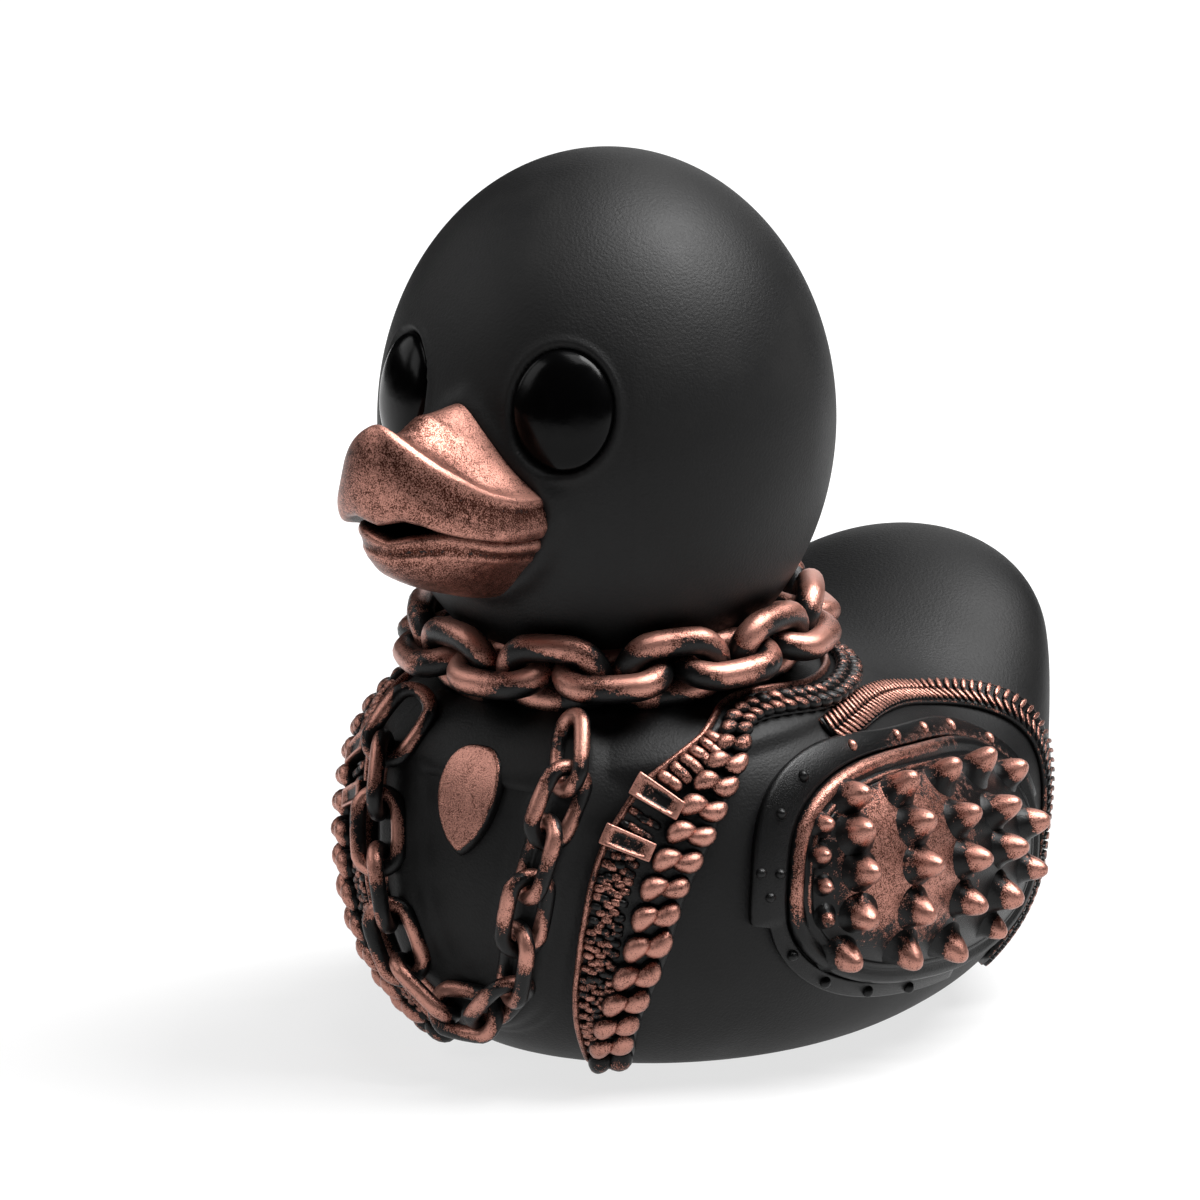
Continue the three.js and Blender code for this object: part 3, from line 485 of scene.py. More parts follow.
def eye_frame(side):
    """The middle of an eye on the head's skin, and its ways across, up and out."""
    turn = EYE_TURN * side
    aim = unit(np.array([[sin(turn), -cos(turn), EYE_RISE / HEAD_HALF[0]]]))
    place = skin_points(head_form, HEAD_CENTRE[None], aim)
    out = skin_normals(head_form, place)[0]
    across = unit(np.cross([0, 0, 1], out))
    return place[0], across, np.cross(out, across), out


def distance_to_line(p, line):
    """How far flat points lie from a line of straight stretches."""
    nearest = np.full(len(p), 1e9)
    for a, b in zip(line[:-1], line[1:]):
        share = np.clip(((p - a) @ (b - a)) / ((b - a) @ (b - a)), 0, 1)
        nearest = np.minimum(nearest, np.linalg.norm(p - a - share[:, None] * (b - a), axis=1))
    return nearest


head, skin = blown_cube(HEAD_CENTRE, HEAD_HALF, head_form, HEAD_CUTS)
out = skin_normals(head_form, skin)
height = np.zeros(len(skin))
for side in (1, -1):
    place, across, up, facing = eye_frame(side)
    flat = np.stack([(skin - place) @ across, (skin - place) @ up], 1) / EYE_HALF
    ring = np.where((skin - place) @ facing < EYE_REACH, np.inf, np.linalg.norm(flat, axis=1))
    height -= SOCKET_DEPTH * np.clip((SOCKET_EDGE - ring) / SOCKET_SLOPE, 0, 1)
    height += LIP_HEIGHT * np.exp(-(((ring - LIP_MIDDLE) / LIP_WIDTH) ** 2))
front = skin[:, 1] < FACE_Y
flat = np.stack([np.abs(skin[:, 0]), skin[:, 2]], 1)
away = distance_to_line(flat, WELT_LINE)
height += np.where(front, WELT_HEIGHT * np.exp(-((away / WELT_WIDTH) ** 2)), 0)
set_points(head, (skin + out * height[:, None]) * MM)
finish_piece(head, "duck_head", matt_black, "black_paint", "head_shell")
print("Head:", len(head.data.polygons), "faces, welt up to", round(height.max(), 2), "mm")

# %% [markdown]
# ## Eyes
# Each eye is a gloss black dome. A ball is flattened to a lens and laid against the head in its socket.
# Gloss black needs almost no colour of its own: what shows is the lamp's reflection. Its roughness is low,
# with faint duller patches, and a low specular level keeps the reflection dim.

# %% Make the eyes
GLOSS_BLACK, EYE_SHINE, DUSTS, RIPPLES, RIPPLE_DEPTH = (0.0015, 0.0015, 0.0016, 1), 0.11, 400, 1800, 0.00003
EYE_OVERLAP, EYE_DOME, EYE_SUNK = 0.3, 2.0, 1.0
gloss = PaintNodes("gloss black", Base_Color=GLOSS_BLACK, Specular_IOR_Level=EYE_SHINE)
gloss.feed("Roughness", gloss.ranged(gloss.noise(DUSTS, 4), 0.35, 0.75, 0.16, 0.26))
gloss.bump(gloss.noise(RIPPLES, 3), 0.25, RIPPLE_DEPTH)
for side, name in ((1, "left"), (-1, "right")):
    place, across, up, facing = eye_frame(side)
    bpy.ops.mesh.primitive_uv_sphere_add(segments=48, ring_count=32, radius=1)
    eye = bpy.context.object
    dome = get_points(eye) * [*(EYE_HALF + EYE_OVERLAP), EYE_DOME]
    set_points(eye, (place - facing * EYE_SUNK + dome @ np.stack([across, up, facing])) * MM)
    finish_piece(eye, name + "_eye_dome", gloss.material, "eye_gloss", name + "_eye")
print("Eyes:", round(EYE_HALF[0] * 2, 1), "by", round(EYE_HALF[1] * 2, 1), "mm")

# %% [markdown]
# ## Bill
# The bill's upper half arches out from the face. Its top is dished behind a raised edge that runs from the
# tip back to the corners of the mouth, with a hollow under that edge and a full lip below. The lower half
# is a bowl with a raised line round it. Each half is a stack of closed rings, from the mouth up or down,
# and each ring has its own reach at the sides and at the tip.

# %% Write the bill's rings
ROOT_Y, BILL_HALF_WIDTH, BILL_LENGTH, BILL_BACK, SQUARENESS = -37.0, 9.4, 15.9, 6.0, 2.3
MOUTH_Z, MOUTH_TILT, CREST_RISE, CREST_FALL, DISH, FLARE = 54.0, radians(11.5), 12.5, 8.5, 1.3, 0.5
CREST_START, LIP_START, LIP_END, RING_POINTS = -38.9, -47, -37.5, 144
STRAIGHT, ROUNDER, BLUNT, SHARPER = 0.6, 0.85, 0.22, 0.145
BULB_Y, BULB_LENGTH, FLARE_START, FLARE_END, PAINT_Y, PAINT_LENGTH = -49, 3, -44, -38, -46, 6


def mouth_height(y):
    return MOUTH_Z + (ROOT_Y - y) * tan(MOUTH_TILT)


def bill_ring(side_share, tip_share):
    """One ring in plan: forward to the tip, and back into the head."""
    turn = np.linspace(0, 2 * pi, RING_POINTS, endpoint=False)
    c, s = np.cos(turn), np.sin(turn)
    share = side_share + (tip_share - side_share) * np.where(s < 0, s * s, 0)
    k = share / (np.abs(c) ** SQUARENESS + np.abs(s) ** SQUARENESS) ** (1 / SQUARENESS)
    y = ROOT_Y + s * k * np.where(s < 0, BILL_LENGTH, BILL_BACK)
    return np.stack([c * k * BILL_HALF_WIDTH, y], 1)


def bill_crest(x, y):
    """The height of the arch over the bill: round at its raised edge, straighter at the face."""
    forward = np.clip((CREST_START - y) / (BILL_LENGTH / 2), 0, 1)
    shape = STRAIGHT + ROUNDER * forward
    blunt = BLUNT - SHARPER * forward
    fall = (np.hypot(x / BILL_HALF_WIDTH, blunt) ** shape - blunt**shape) / (1 - blunt**shape)
    return MOUTH_Z + CREST_RISE - CREST_FALL * fall


def rounded_corner(flat, depth):
    """Draws the bill in towards the corner of the mouth, more the nearer to the lips."""
    near_face = ease(flat[:, 1], LIP_START, LIP_END)
    return flat * np.column_stack([1 - depth * near_face, np.ones(len(flat))])


def bill_brush_and_shade(level):
    """The bill is painted nearly all over: only the insides of the lips stay black. Lower values give darker
    copper, which paints shade into the bill's hollows.
    """
    return 0.6 * ease(level, 0.0, 0.2) + 0.62 * np.asarray(level)


def new_piece(name, points, faces, brush):
    """A piece from points in millimetres, faces and a brush value for each point."""
    mesh = bpy.data.meshes.new(name)
    mesh.from_pydata((np.array(points) * MM).tolist(), [], faces)
    obj = bpy.data.objects.new(name, mesh)
    scene.collection.objects.link(obj)
    set_brush(obj, brush)
    return obj


def ring_stack(name, rings, brush):
    """A closed skin from a stack of rings, the first and the last closed by a fan."""
    count = len(rings[0])
    points = [p for ring in rings for p in ring] + [rings[0].mean(0), rings[-1].mean(0)]
    first, last = len(points) - 2, len(points) - 1
    end = (len(rings) - 1) * count
    faces = []
    for start in range(0, end, count):
        for j in range(count):
            a, b = start + j, start + (j + 1) % count
            faces.append((a, b, b + count, a + count))
    for j in range(count):
        k = (j + 1) % count
        faces += [(first, k, j), (last, end + j, end + k)]
    levels = np.ravel(brush)
    return new_piece(name, points, faces, np.append(levels, [levels[:count].mean(), levels[-count:].mean()]))


def smooth_curve(points, steps, power=0.0):
    """More points between the given ones, on a smooth curve. Power says how far distances steer its bends."""
    points = np.array(points, float)
    padded = np.vstack([2 * points[0] - points[1], points, 2 * points[-1] - points[-2]])
    fine = []
    for i in range(len(points) - 1):
        a, b, c, d = padded[i : i + 4]
        t0, t1, t2 = (max(np.linalg.norm(q - p) ** power, 1e-4) for p, q in ((a, b), (b, c), (c, d)))
        m1 = t1 * ((b - a) / t0 - (c - a) / (t0 + t1) + (c - b) / t1)
        m2 = t1 * ((c - b) / t1 - (d - b) / (t1 + t2) + (d - c) / t2)
        for t in np.arange(steps) / steps:
            from_b = (2 * t**3 - 3 * t**2 + 1) * b + (t**3 - 2 * t**2 + t) * m1
            fine.append(from_b + (3 * t**2 - 2 * t**3) * c + (t**3 - t**2) * m2)
    return np.array(fine + [points[-1]])


ROWS_BETWEEN = 4
# Each row: the reach at the sides and at the tip, the share of the height, and the brush. The low brush in
# the hollow under the raised edge is painted shade there.
upper_rows = smooth_curve([
    [0.80, 0.76, -0.02, 0.0],
    [0.90, 0.86, -0.02, 0.05],
    [0.955, 0.92, 0.0, 0.35],
    [0.99, 0.955, 0.06, 0.62],
    [1.0, 0.985, 0.2, 0.56],
    [0.99, 1.0, 0.38, 0.46],
    [0.94, 1.0, 0.56, 0.24],
    [0.912, 0.985, 0.74, 0.15],
    [0.917, 0.96, 0.88, 0.45],
    [0.915, 0.93, 0.975, 1.0],
    [0.893, 0.895, 1.0, 1.1],
], ROWS_BETWEEN)
# The lips' edges: how far out from the middle, and how high.
UPPER_EDGE = np.array([
    [0, 57.1], [2.8, 57.7], [4.6, 57.2], [5.7, 56.6], [6.9, 56.0], [8.1, 55.4], [8.8, 54.9], [9.4, 54.3],
])
LOWER_EDGE = np.array([
    [0, 55.4], [2, 55.9], [4.2, 56.3], [5.4, 56.3], [6.6, 55.8], [7.6, 54.9], [8.2, 54.4], [9.4, 54.0],
])
TOP_SHARES = np.linspace(0.87, 0.06, 24)


def upper_bill():
    """The lip and the raised edge ring by ring, and then the dished top in to its middle."""
    rings, brush = [], []
    for side_share, tip_share, rise, level in upper_rows:
        flat = bill_ring(side_share, tip_share)
        x, y = np.abs(flat[:, 0]), flat[:, 1]
        base = np.interp(x, UPPER_EDGE[:, 0], UPPER_EDGE[:, 1])
        lips = rounded_corner(flat, 0.15 * max(0, 1 - rise / 0.6))
        rings.append(np.column_stack([lips, base + (bill_crest(x, y) - base) * rise]))
        bulb = np.clip((BULB_Y - y) / BULB_LENGTH, 0, 1)
        brush.append(level + (0.5 - level) * bulb * 0.6)
    edge = upper_rows[-1, 0]
    for share in TOP_SHARES:
        flat = bill_ring(share, share)
        x, y = np.abs(flat[:, 0]), flat[:, 1]
        behind = 1 - share / edge
        forward = np.clip(CREST_START - y, 0, BILL_LENGTH)
        sag = DISH * np.sin(pi * min(1, behind * 2.2)) * ease(forward, -1.5, 6)
        middle = np.clip(1 - (x / (edge * BILL_HALF_WIDTH)) ** 2, 0, 1)
        flare = FLARE * ease(y, FLARE_START, FLARE_END) * middle
        rings.append(np.column_stack([flat, bill_crest(x, y) - sag + flare]))
        # The dish's brush is lower behind the raised edge than near the face, which paints shade into the
        # dish.
        near_face = np.clip((y - PAINT_Y) / PAINT_LENGTH, 0, 1)
        brush.append(0.32 + 0.5 * near_face + 0.6 * np.exp(-behind * 22))
    return ring_stack("bill_upper", rings, bill_brush_and_shade(np.array(brush)))


bill_top = upper_bill()
finish_piece(bill_top, "bill_upper", solid_copper, "copper_paint", "upper_beak")
print("Upper bill:", len(bill_top.data.polygons), "faces")

# %% Make the lower bill
# Each row: the reach at the sides and at the tip, the drop below the lip, and the brush. The low brush in the
# band under the lip is painted shade there.
bowl_rows = smooth_curve([
    [0.70, 0.62, 0.06, 0.0],
    [0.80, 0.73, 0.01, 0.1],
    [0.85, 0.79, 0.0, 0.5],
    [0.875, 0.82, 0.06, 0.75],
    [0.872, 0.828, 0.15, 0.5],
    [0.835, 0.818, 0.24, 0.18],
    [0.815, 0.815, 0.32, 0.2],
    [0.80, 0.822, 0.39, 0.7],
    [0.765, 0.815, 0.46, 0.5],
    [0.71, 0.795, 0.56, 0.38],
    [0.56, 0.71, 0.77, 0.32],
    [0.34, 0.46, 0.94, 0.3],
    [0.08, 0.15, 1.0, 0.3],
], ROWS_BETWEEN)
BOWL_DEPTH = 6.05


def lower_bill():
    """The bowl from its bottom up to the lip and a little way in."""
    rings, brush = [], []
    for side_share, tip_share, drop, level in bowl_rows[::-1]:
        flat = bill_ring(side_share, tip_share)
        x, y = np.abs(flat[:, 0]), flat[:, 1]
        rim = np.interp(x, LOWER_EDGE[:, 0], LOWER_EDGE[:, 1])
        low = mouth_height(y) - BOWL_DEPTH
        lips = rounded_corner(flat, 0.03 + 0.2 * drop)
        rings.append(np.column_stack([lips, rim + (low - rim) * drop]))
        brush.append(np.full(len(flat), level))
    return ring_stack("bill_lower", rings, bill_brush_and_shade(np.array(brush)))


bill_bowl = lower_bill()
finish_piece(bill_bowl, "bill_lower", solid_copper, "copper_paint", "lower_beak")
print("Lower bill:", len(bill_bowl.data.polygons), "faces")

# %% [markdown]
# ## Chains
# Both chains are cable chains: every link is a ring drawn out to an oval, and each lies about a quarter
# turn away from its neighbours. Each is made as long as its stretch of the route needs, and laid there.
# The copper brush met the links from outside, so it is strongest on the side that faces away from the duck.

# %% Write the chain routes
def rows_at(at, known, values):
    """Rows of values at places between the known ones."""
    return np.stack([np.interp(at, known, column) for column in values.T], -1)


def evenly(curve, count):
    """Points at even distances along a curve, with the distances."""
    far = np.concatenate([[0], np.cumsum(np.linalg.norm(np.diff(curve, axis=0), axis=1))])
    at = np.linspace(0, far[-1], count)
    return rows_at(at, far, curve), at


CURVE_STEPS, CURVE_POWER = 60, 0.5
NECK_LINKS, NECK_RING, NECK_Y, NECK_Z, NECK_TILT = 20, 18.3, -14.6, 41.9, tan(radians(5))
NECK_WIRE, NECK_BEND, NECK_TURNS = 1.38, 3.0, (15, -70)
CHEST_LINKS, CHEST_WIRE, CHEST_BEND, CHEST_TURNS = 13, 0.8, 2.05, (45, -45)
CHEST_LIFT = CHEST_BEND * sin(radians(45)) + CHEST_WIRE + 0.3
CHEST_LOWEST = (0, -38.6, 7.6)
CHEST_SIDE = [
    (9.2, -34, 34.8), (10.9, -36.6, 31), (9.6, -39, 25.5), (8.6, -40, 20), (7.3, -40.2, 14.5),
    (5.4, -39.4, 10.2),
]


def neck_route(share):
    turn = share * 2 * pi
    across, forward = NECK_RING * sin(turn), NECK_RING * cos(turn)
    point = np.array([across, NECK_Y - forward, NECK_Z - forward * NECK_TILT])
    return point, unit(np.array([0, -NECK_TILT, 1.0]))


chest_aims = CHEST_SIDE + [CHEST_LOWEST] + [(-x, y, z) for x, y, z in reversed(CHEST_SIDE)]
laid, way_out = on_body(evenly(smooth_curve(chest_aims, CURVE_STEPS, CURVE_POWER), 49)[0])
chest_line = evenly(smooth_curve(laid + way_out * CHEST_LIFT, CURVE_STEPS, CURVE_POWER), 600)[0]


def chest_route(share):
    point = rows_at(share, np.linspace(0, 1, len(chest_line)), chest_line)
    return point, skin_normals(body_form, point[None])[0]


print("Chest chain runs", round(np.linalg.norm(np.diff(chest_line, axis=0), axis=1).sum(), 1), "mm")

# %% Model the links and lay them
def link_mesh(wire, bend, pitch):
    """A ring of round wire, drawn out to an oval: its length runs along X."""
    bpy.ops.mesh.primitive_torus_add(
        major_segments=40, minor_segments=16, major_radius=bend, minor_radius=wire
    )
    obj = bpy.context.object
    co = get_points(obj)
    straight = pitch - 2 * bend + 2 * wire + LINK_PLAY
    co[:, 0] += np.clip(co[:, 0] / bend * 3, -1, 1) * straight / 2
    return obj, co


LINK_PLAY, STROKE_STEP, STROKE = 0.5, 2.4, 0.42
STROKE_WAY = np.array([0.62, 0.5, 0.85])


def lay_chain(name, count, first, wire, bend, turns, route, middle_line):
    """Lays links along a route. The brush swept them from outside, in strokes that missed parts of each."""
    for i in range(count):
        share = (i + first) / count
        _, out = route(share)
        before, after = route(share - 0.5 / count)[0], route(share + 0.5 / count)[0]
        pitch = np.linalg.norm(after - before)
        along = (after - before) / pitch
        out = unit(out - along * (out @ along))
        turn = radians(turns[i % 2])
        width = np.cross(out, along) * cos(turn) + out * sin(turn)
        facing = np.cross(along, width)
        obj, co = link_mesh(wire, bend, pitch)
        placed = (before + after) / 2 + co @ np.stack([along, width, facing])
        set_points(obj, placed * MM)
        wire_out = get_points(obj, "normal")
        facing_out = (wire_out * unit(placed - middle_line(placed))).sum(1)
        stroke = STROKE * np.sin(placed @ STROKE_WAY + i * STROKE_STEP)
        set_brush(obj, 0.08 + 0.66 * facing_out + 0.28 * wire_out[:, 2] + stroke)
        number = f"{i + 1:02d}"
        finish_piece(obj, f"{name}_cast_{number}", copper_over_black, "copper_paint", f"{name}_{number}")


def inside_neck(p):
    """A point inside the neck for each of a link's: the way out starts there."""
    return np.column_stack([p[:, 0] * 0.5, NECK_Y + (p[:, 1] - NECK_Y) * 0.5, np.full(len(p), 34.0)])


def inside_chest(p):
    """A point inside the breast for each of a link's."""
    return np.column_stack([p[:, 0] * 0.3, np.full(len(p), -10.0), p[:, 2] - 4])


lay_chain("neck_link", NECK_LINKS, 0.0, NECK_WIRE, NECK_BEND, NECK_TURNS, neck_route, inside_neck)
lay_chain("chest_link", CHEST_LINKS, 0.5, CHEST_WIRE, CHEST_BEND, CHEST_TURNS, chest_route, inside_chest)
print("Links:", NECK_LINKS, "round the neck and", CHEST_LINKS, "on the chest")

# %% [markdown]
# The chains are cast in one with the duck, so no open air shows behind them: a soft bed of body skin rises
# under each chain, and the rings have paint behind them. The skin is lifted near the chains' routes.

# %% Raise the beds under the chains
BREAST_Y, BREAST_TOP, NECK_FOOT = -24, 38, 30
WIDE_BED, HIGH_BED, NECK_BED = 0.35, 0.95, 0.6
skin = get_points(body) / MM
out = skin_normals(body_form, skin)
front = (skin[:, 1] < BREAST_Y) & (skin[:, 2] < BREAST_TOP)
under_chest, _ = on_body(chest_line[::3])
chest_away = np.sqrt(((skin[front][:, None] - under_chest[None]) ** 2).sum(2)).min(1)
neck_away = np.abs(np.hypot(skin[:, 0], skin[:, 1] - NECK_Y) - NECK_RING)
bed = np.zeros(len(skin))
bed[front] = WIDE_BED * (1 - ease(chest_away, 3.4, 4.4)) + HIGH_BED * (1 - ease(chest_away, 1.2, 3.2))
bed = np.maximum(bed, NECK_BED * (1 - ease(neck_away, 4.0, 5.2)) * (skin[:, 2] > NECK_FOOT))
set_points(body, (skin + out * bed[:, None]) * MM)
print("Beds raise", int((bed > 0.1).sum()), "points of the body's skin")

# %% [markdown]
# ## Jacket trim
# The jacket's edges are lapels that run round the back of the neck, over the shoulder and down beside the
# breast. All the trim on them is laid along the same line. Each piece is modelled flat, as on a bench:
# its length along X, its width along Y and its height along Z. Then it is laid on the duck, where X
# becomes the distance along the line and Z the height over the skin.

# %% Write the lines that the trim follows
class Course:
    """A line on the body's skin that flat pieces are laid along."""

    def __init__(self, points, count=420):
        laid, _ = on_body(np.array(points, float))
        line, self.far = evenly(smooth_curve(laid, CURVE_STEPS, CURVE_POWER), count)
        self.middle, out = on_body(line)
        self.across = unit(np.cross(out, unit(np.gradient(line, axis=0))))
        self.along = unit(np.gradient(self.middle, axis=0))
        self.length = self.far[-1]

    def lay(self, obj):
        """Lays a flat bench piece on the duck."""
        far, side, high = (get_points(obj) / MM).T
        middle, across, along = (rows_at(far, self.far, v) for v in (self.middle, self.across, self.along))
        skin, out = on_body(middle + across * side[:, None])
        past = np.clip(far - self.length, 0, None) + np.clip(far, None, 0)
        set_points(obj, (skin + out * high[:, None] + along * past[:, None]) * MM)


COLLAR_RADIUS, COLLAR_TOP, COLLAR_WIDTH, COLLAR_SHARE = 22.5, 37.4, 3.9, 0.45
COLLAR_TURNS = np.radians((4, 40, 78, 112))
collar = [(COLLAR_RADIUS * sin(t), NECK_Y + COLLAR_RADIUS * cos(t), COLLAR_TOP) for t in COLLAR_TURNS]
LAPEL_FRONT = [
    (20.2, -25.6, 33), (18.6, -30.3, 28), (17, -33.1, 22.5), (15.6, -33.9, 16), (12.8, -32.6, 9),
    (10.6, -29.8, 4.2), (9.6, -28, 2.2),
]
SNAKE_LINE = [
    (23.4, -12, 33.2), (22.9, -8.6, 33.8), (21.4, -1, 34.7), (19.2, 8, 34), (18.6, 16, 32.4),
    (20.4, 21, 30.5), (22.4, 25, 26.6), (23.4, 26.6, 21.5), (23.6, 26, 15), (23.6, 22.6, 9), (22.6, 18, 4.6),
]
lapel_course = Course(collar + LAPEL_FRONT)
snake_course = Course(SNAKE_LINE)
WIDTH_AT_HEIGHT = np.array([
    [1, 4.2], [5, 5.2], [8, 6.3], [11, 7.4], [16, 8.7], [24.6, 9.3], [28.4, 8.8], [30, 7.4], [33, 5.2],
    [35, 3.9],
])


def lapel_half(far):
    """Half the lapel's width: narrow round the neck, broadest beside the keepers, drawn in at the hem."""
    if far <= lapel_course.length * COLLAR_SHARE:
        return COLLAR_WIDTH / 2
    height = np.interp(far, lapel_course.far, lapel_course.middle[:, 2])
    return float(np.interp(height, *WIDTH_AT_HEIGHT.T)) / 2


print("Lapel line", round(lapel_course.length, 1), "mm, flat chain line", round(snake_course.length, 1), "mm")

# %% Write the bench helpers
def flat_strip(name, section_at, length, steps):
    """A closed strip on the bench, from sections whose points are a place across, a height and a brush."""
    rings, brush = [], []
    for far in np.linspace(0, length, steps):
        ring = np.array(section_at(far), float)
        rings.append(np.column_stack([np.full(len(ring), far), ring[:, :2]]))
        brush.append(ring[:, 2])
    return ring_stack(name, rings, np.array(brush))


def take_apart(pattern):
    """The points in millimetres and the faces of a pattern, which is then removed."""
    points, faces = get_points(pattern) / MM, [tuple(f.vertices) for f in pattern.data.polygons]
    bpy.data.objects.remove(pattern)
    return points, faces


def repeated(name, faces, parts):
    """One piece from many sets of points with a brush value each, all with the pattern's faces."""
    count = len(parts[0][0])
    all_faces = [tuple(i + k * count for i in face) for k in range(len(parts)) for face in faces]
    return new_piece(name, np.vstack([p for p, _ in parts]), all_faces, np.concatenate([b for _, b in parts]))


def copies(pattern, places):
    """Copies of a small bench pattern: each is turned and sized, shifted, and brushed more or less."""
    level = np.array([v.value for v in pattern.data.attributes["brush"].data])
    points, faces = take_apart(pattern)
    return repeated("row", faces, [(points @ turn.T + shift, level + lift) for turn, shift, lift in places])


def turned(degrees, size):
    """A turn round Z after sizing."""
    c, s = cos(radians(degrees)), sin(radians(degrees))
    return np.array([[c, -s, 0], [s, c, 0], [0, 0, 1]]) * size


def join_all(pieces):
    """Joins separate pieces into the first one."""
    bpy.ops.object.select_all(action="DESELECT")
    for piece in pieces:
        piece.select_set(True)
    bpy.context.view_layer.objects.active = pieces[0]
    bpy.ops.object.join()
    pieces[0].select_set(False)
    return pieces[0]


def brush_by_height(obj, low, high, least, most):
    set_brush(obj, least + (most - least) * ease(get_points(obj)[:, 2] / MM, low, high))


def turn_faces_out():
    """Turns the faces of the piece in edit mode outwards, and leaves edit mode."""
    bpy.ops.mesh.select_all(action="SELECT")
    bpy.ops.mesh.normals_make_consistent(inside=False)
    bpy.ops.object.mode_set(mode="OBJECT")


def finish_pair(obj, name, slot="copper_paint"):
    """Puts a finished left piece and its mirrored twin in place of their CAD nodes."""
    twin = obj.copy()
    twin.data = obj.data.copy()
    scene.collection.objects.link(twin)
    set_points(twin, get_points(twin) * [-1, 1, 1])
    twin.data.flip_normals()
    finish_piece(obj, f"left_{name}_cast", copper_over_black, slot, f"left_{name}")
    finish_piece(twin, f"right_{name}_cast", copper_over_black, slot, f"right_{name}")


# %% Lay the lapels
LAPEL_TOP, ROLL_HEIGHT, ROLL_WIDE, ROLL_HIGH, LAPEL_FOOT = 1.0, 1.12, 0.3, 0.34, -0.3


def lapel_section(far):
    """A flat section with a rolled piping along its front edge, rounded off at the hem."""
    half = lapel_half(far)
    left = lapel_course.length - far
    if left < half:
        half = max(0.25, (half**2 - (half - left) ** 2) ** 0.5)
    over = [(half, 0.2, 0.05), (half - 0.15, 0.75, 0.2), (half - 0.6, LAPEL_TOP, 0.12)]
    over += [(half * 0.4, LAPEL_TOP, 0.0), (0.9 - half, 0.95, 0.05)]
    for t in np.linspace(0.2, pi + 0.4, 7):
        over.append((-half + ROLL_WIDE * (1 + cos(t)), ROLL_HEIGHT + ROLL_HIGH * sin(t), 0.62))
    foot = [(x, LAPEL_FOOT, 0.0) for x in (-half - 0.1, 0, half + 0.1)]
    return over + [(-half - 0.05, 0.4, 0.2)] + foot


lapel = flat_strip("lapel", lapel_section, lapel_course.length, 190)
lapel_course.lay(lapel)
finish_pair(lapel, "lapel", "black_paint")
print("Lapels:", len(lapel.data.polygons), "faces each")

# %% [markdown]
# ## Zip, keepers and curb chain
# The zip's teeth are short rounded ridges across the lapel. Below the two keepers the ridges are closer
# and wavy, as the cast's are worn there. The curb chain is two rows of bean-shaped beads that lean
# together, which is how a curb link looks from its face. One tooth and one bead are modelled from
# primitives, copied in rows, and laid on the lapel.

# %% Model the zip teeth
KEEPER_Z, ZIP_TOP_Z, ZIP_END, KEEPER_ROOM = (28.4, 24.6), 33.6, 3.2, 1.05
# Each kind of tooth: its parts, the width across them all, its height, and its size along the zip.
UPPER_TEETH, LOWER_TEETH = (2, 1.75, 1.15, 0.9), (5, 2.9, 0.8, 0.62)
UPPER_PITCH, LOWER_PITCH, WAVE, WAVE_ACROSS, WAVE_ALONG = 1.25, 0.98, 0.26, 2.1, 1.3
TOOTH_INSET, TOOTH_OVERLAP, TOOTH_RISE, WORN_ROOM = 0.9, 1.65, 0.12, 1.2
DIM_ABOVE, DIM_MIDDLE, DIM_BELOW = 0.08, 0.45, 0.3


def far_at_height(z):
    """How far along the lapel's line its front passes a height."""
    front = lapel_course.far > lapel_course.length * 0.5
    return lapel_course.far[front][np.argmin(np.abs(lapel_course.middle[front, 2] - z))]


def zip_tooth():
    """A small block, rounded."""
    tooth = divided_cube(MM, 2, 0.8)
    brush_by_height(tooth, -0.1, 0.4, 0.0, 0.9)
    return tooth


rng = np.random.default_rng(7)
keeper_far = [far_at_height(z) for z in KEEPER_Z]
places = []
far = far_at_height(ZIP_TOP_Z)
while far < lapel_course.length - ZIP_END:
    below = far > keeper_far[1] + WORN_ROOM
    between = keeper_far[0] < far < keeper_far[1]
    if min(abs(far - k) for k in keeper_far) > KEEPER_ROOM:
        parts, wide, tall, deep = LOWER_TEETH if below or between else UPPER_TEETH
        dim = DIM_MIDDLE if between else DIM_BELOW if below else DIM_ABOVE
        for k in range(parts):
            y = -lapel_half(far) + TOOTH_INSET + (k + 0.5) / parts * wide
            wave = WAVE * sin(k * WAVE_ACROSS + far * WAVE_ALONG) if below else 0.0
            size = (deep, wide / parts * TOOTH_OVERLAP, tall * rng.uniform(0.85, 1.1))
            lift = rng.uniform(-0.3, 0.12) - dim
            shift = (far + wave + rng.uniform(-0.1, 0.1), y, LAPEL_TOP + TOOTH_RISE)
            places.append((turned(rng.uniform(-12, 12), size), shift, lift))
    far += LOWER_PITCH if below else UPPER_PITCH
teeth = copies(zip_tooth(), places)
lapel_course.lay(teeth)
finish_pair(teeth, "zip")
print("Zip:", len(places), "tooth ends in each row")

# %% Model the keepers
KEEPER_WIDE, KEEPER_LONG, KEEPER_TURN, KEEPER_EDGE = 1.75, 4.9, radians(-4), 0.16
KEEPER_INSET, KEEPER_THICK, RAIL_HEIGHT, RAIL_START = 2.2, 0.9, 0.35, 0.66


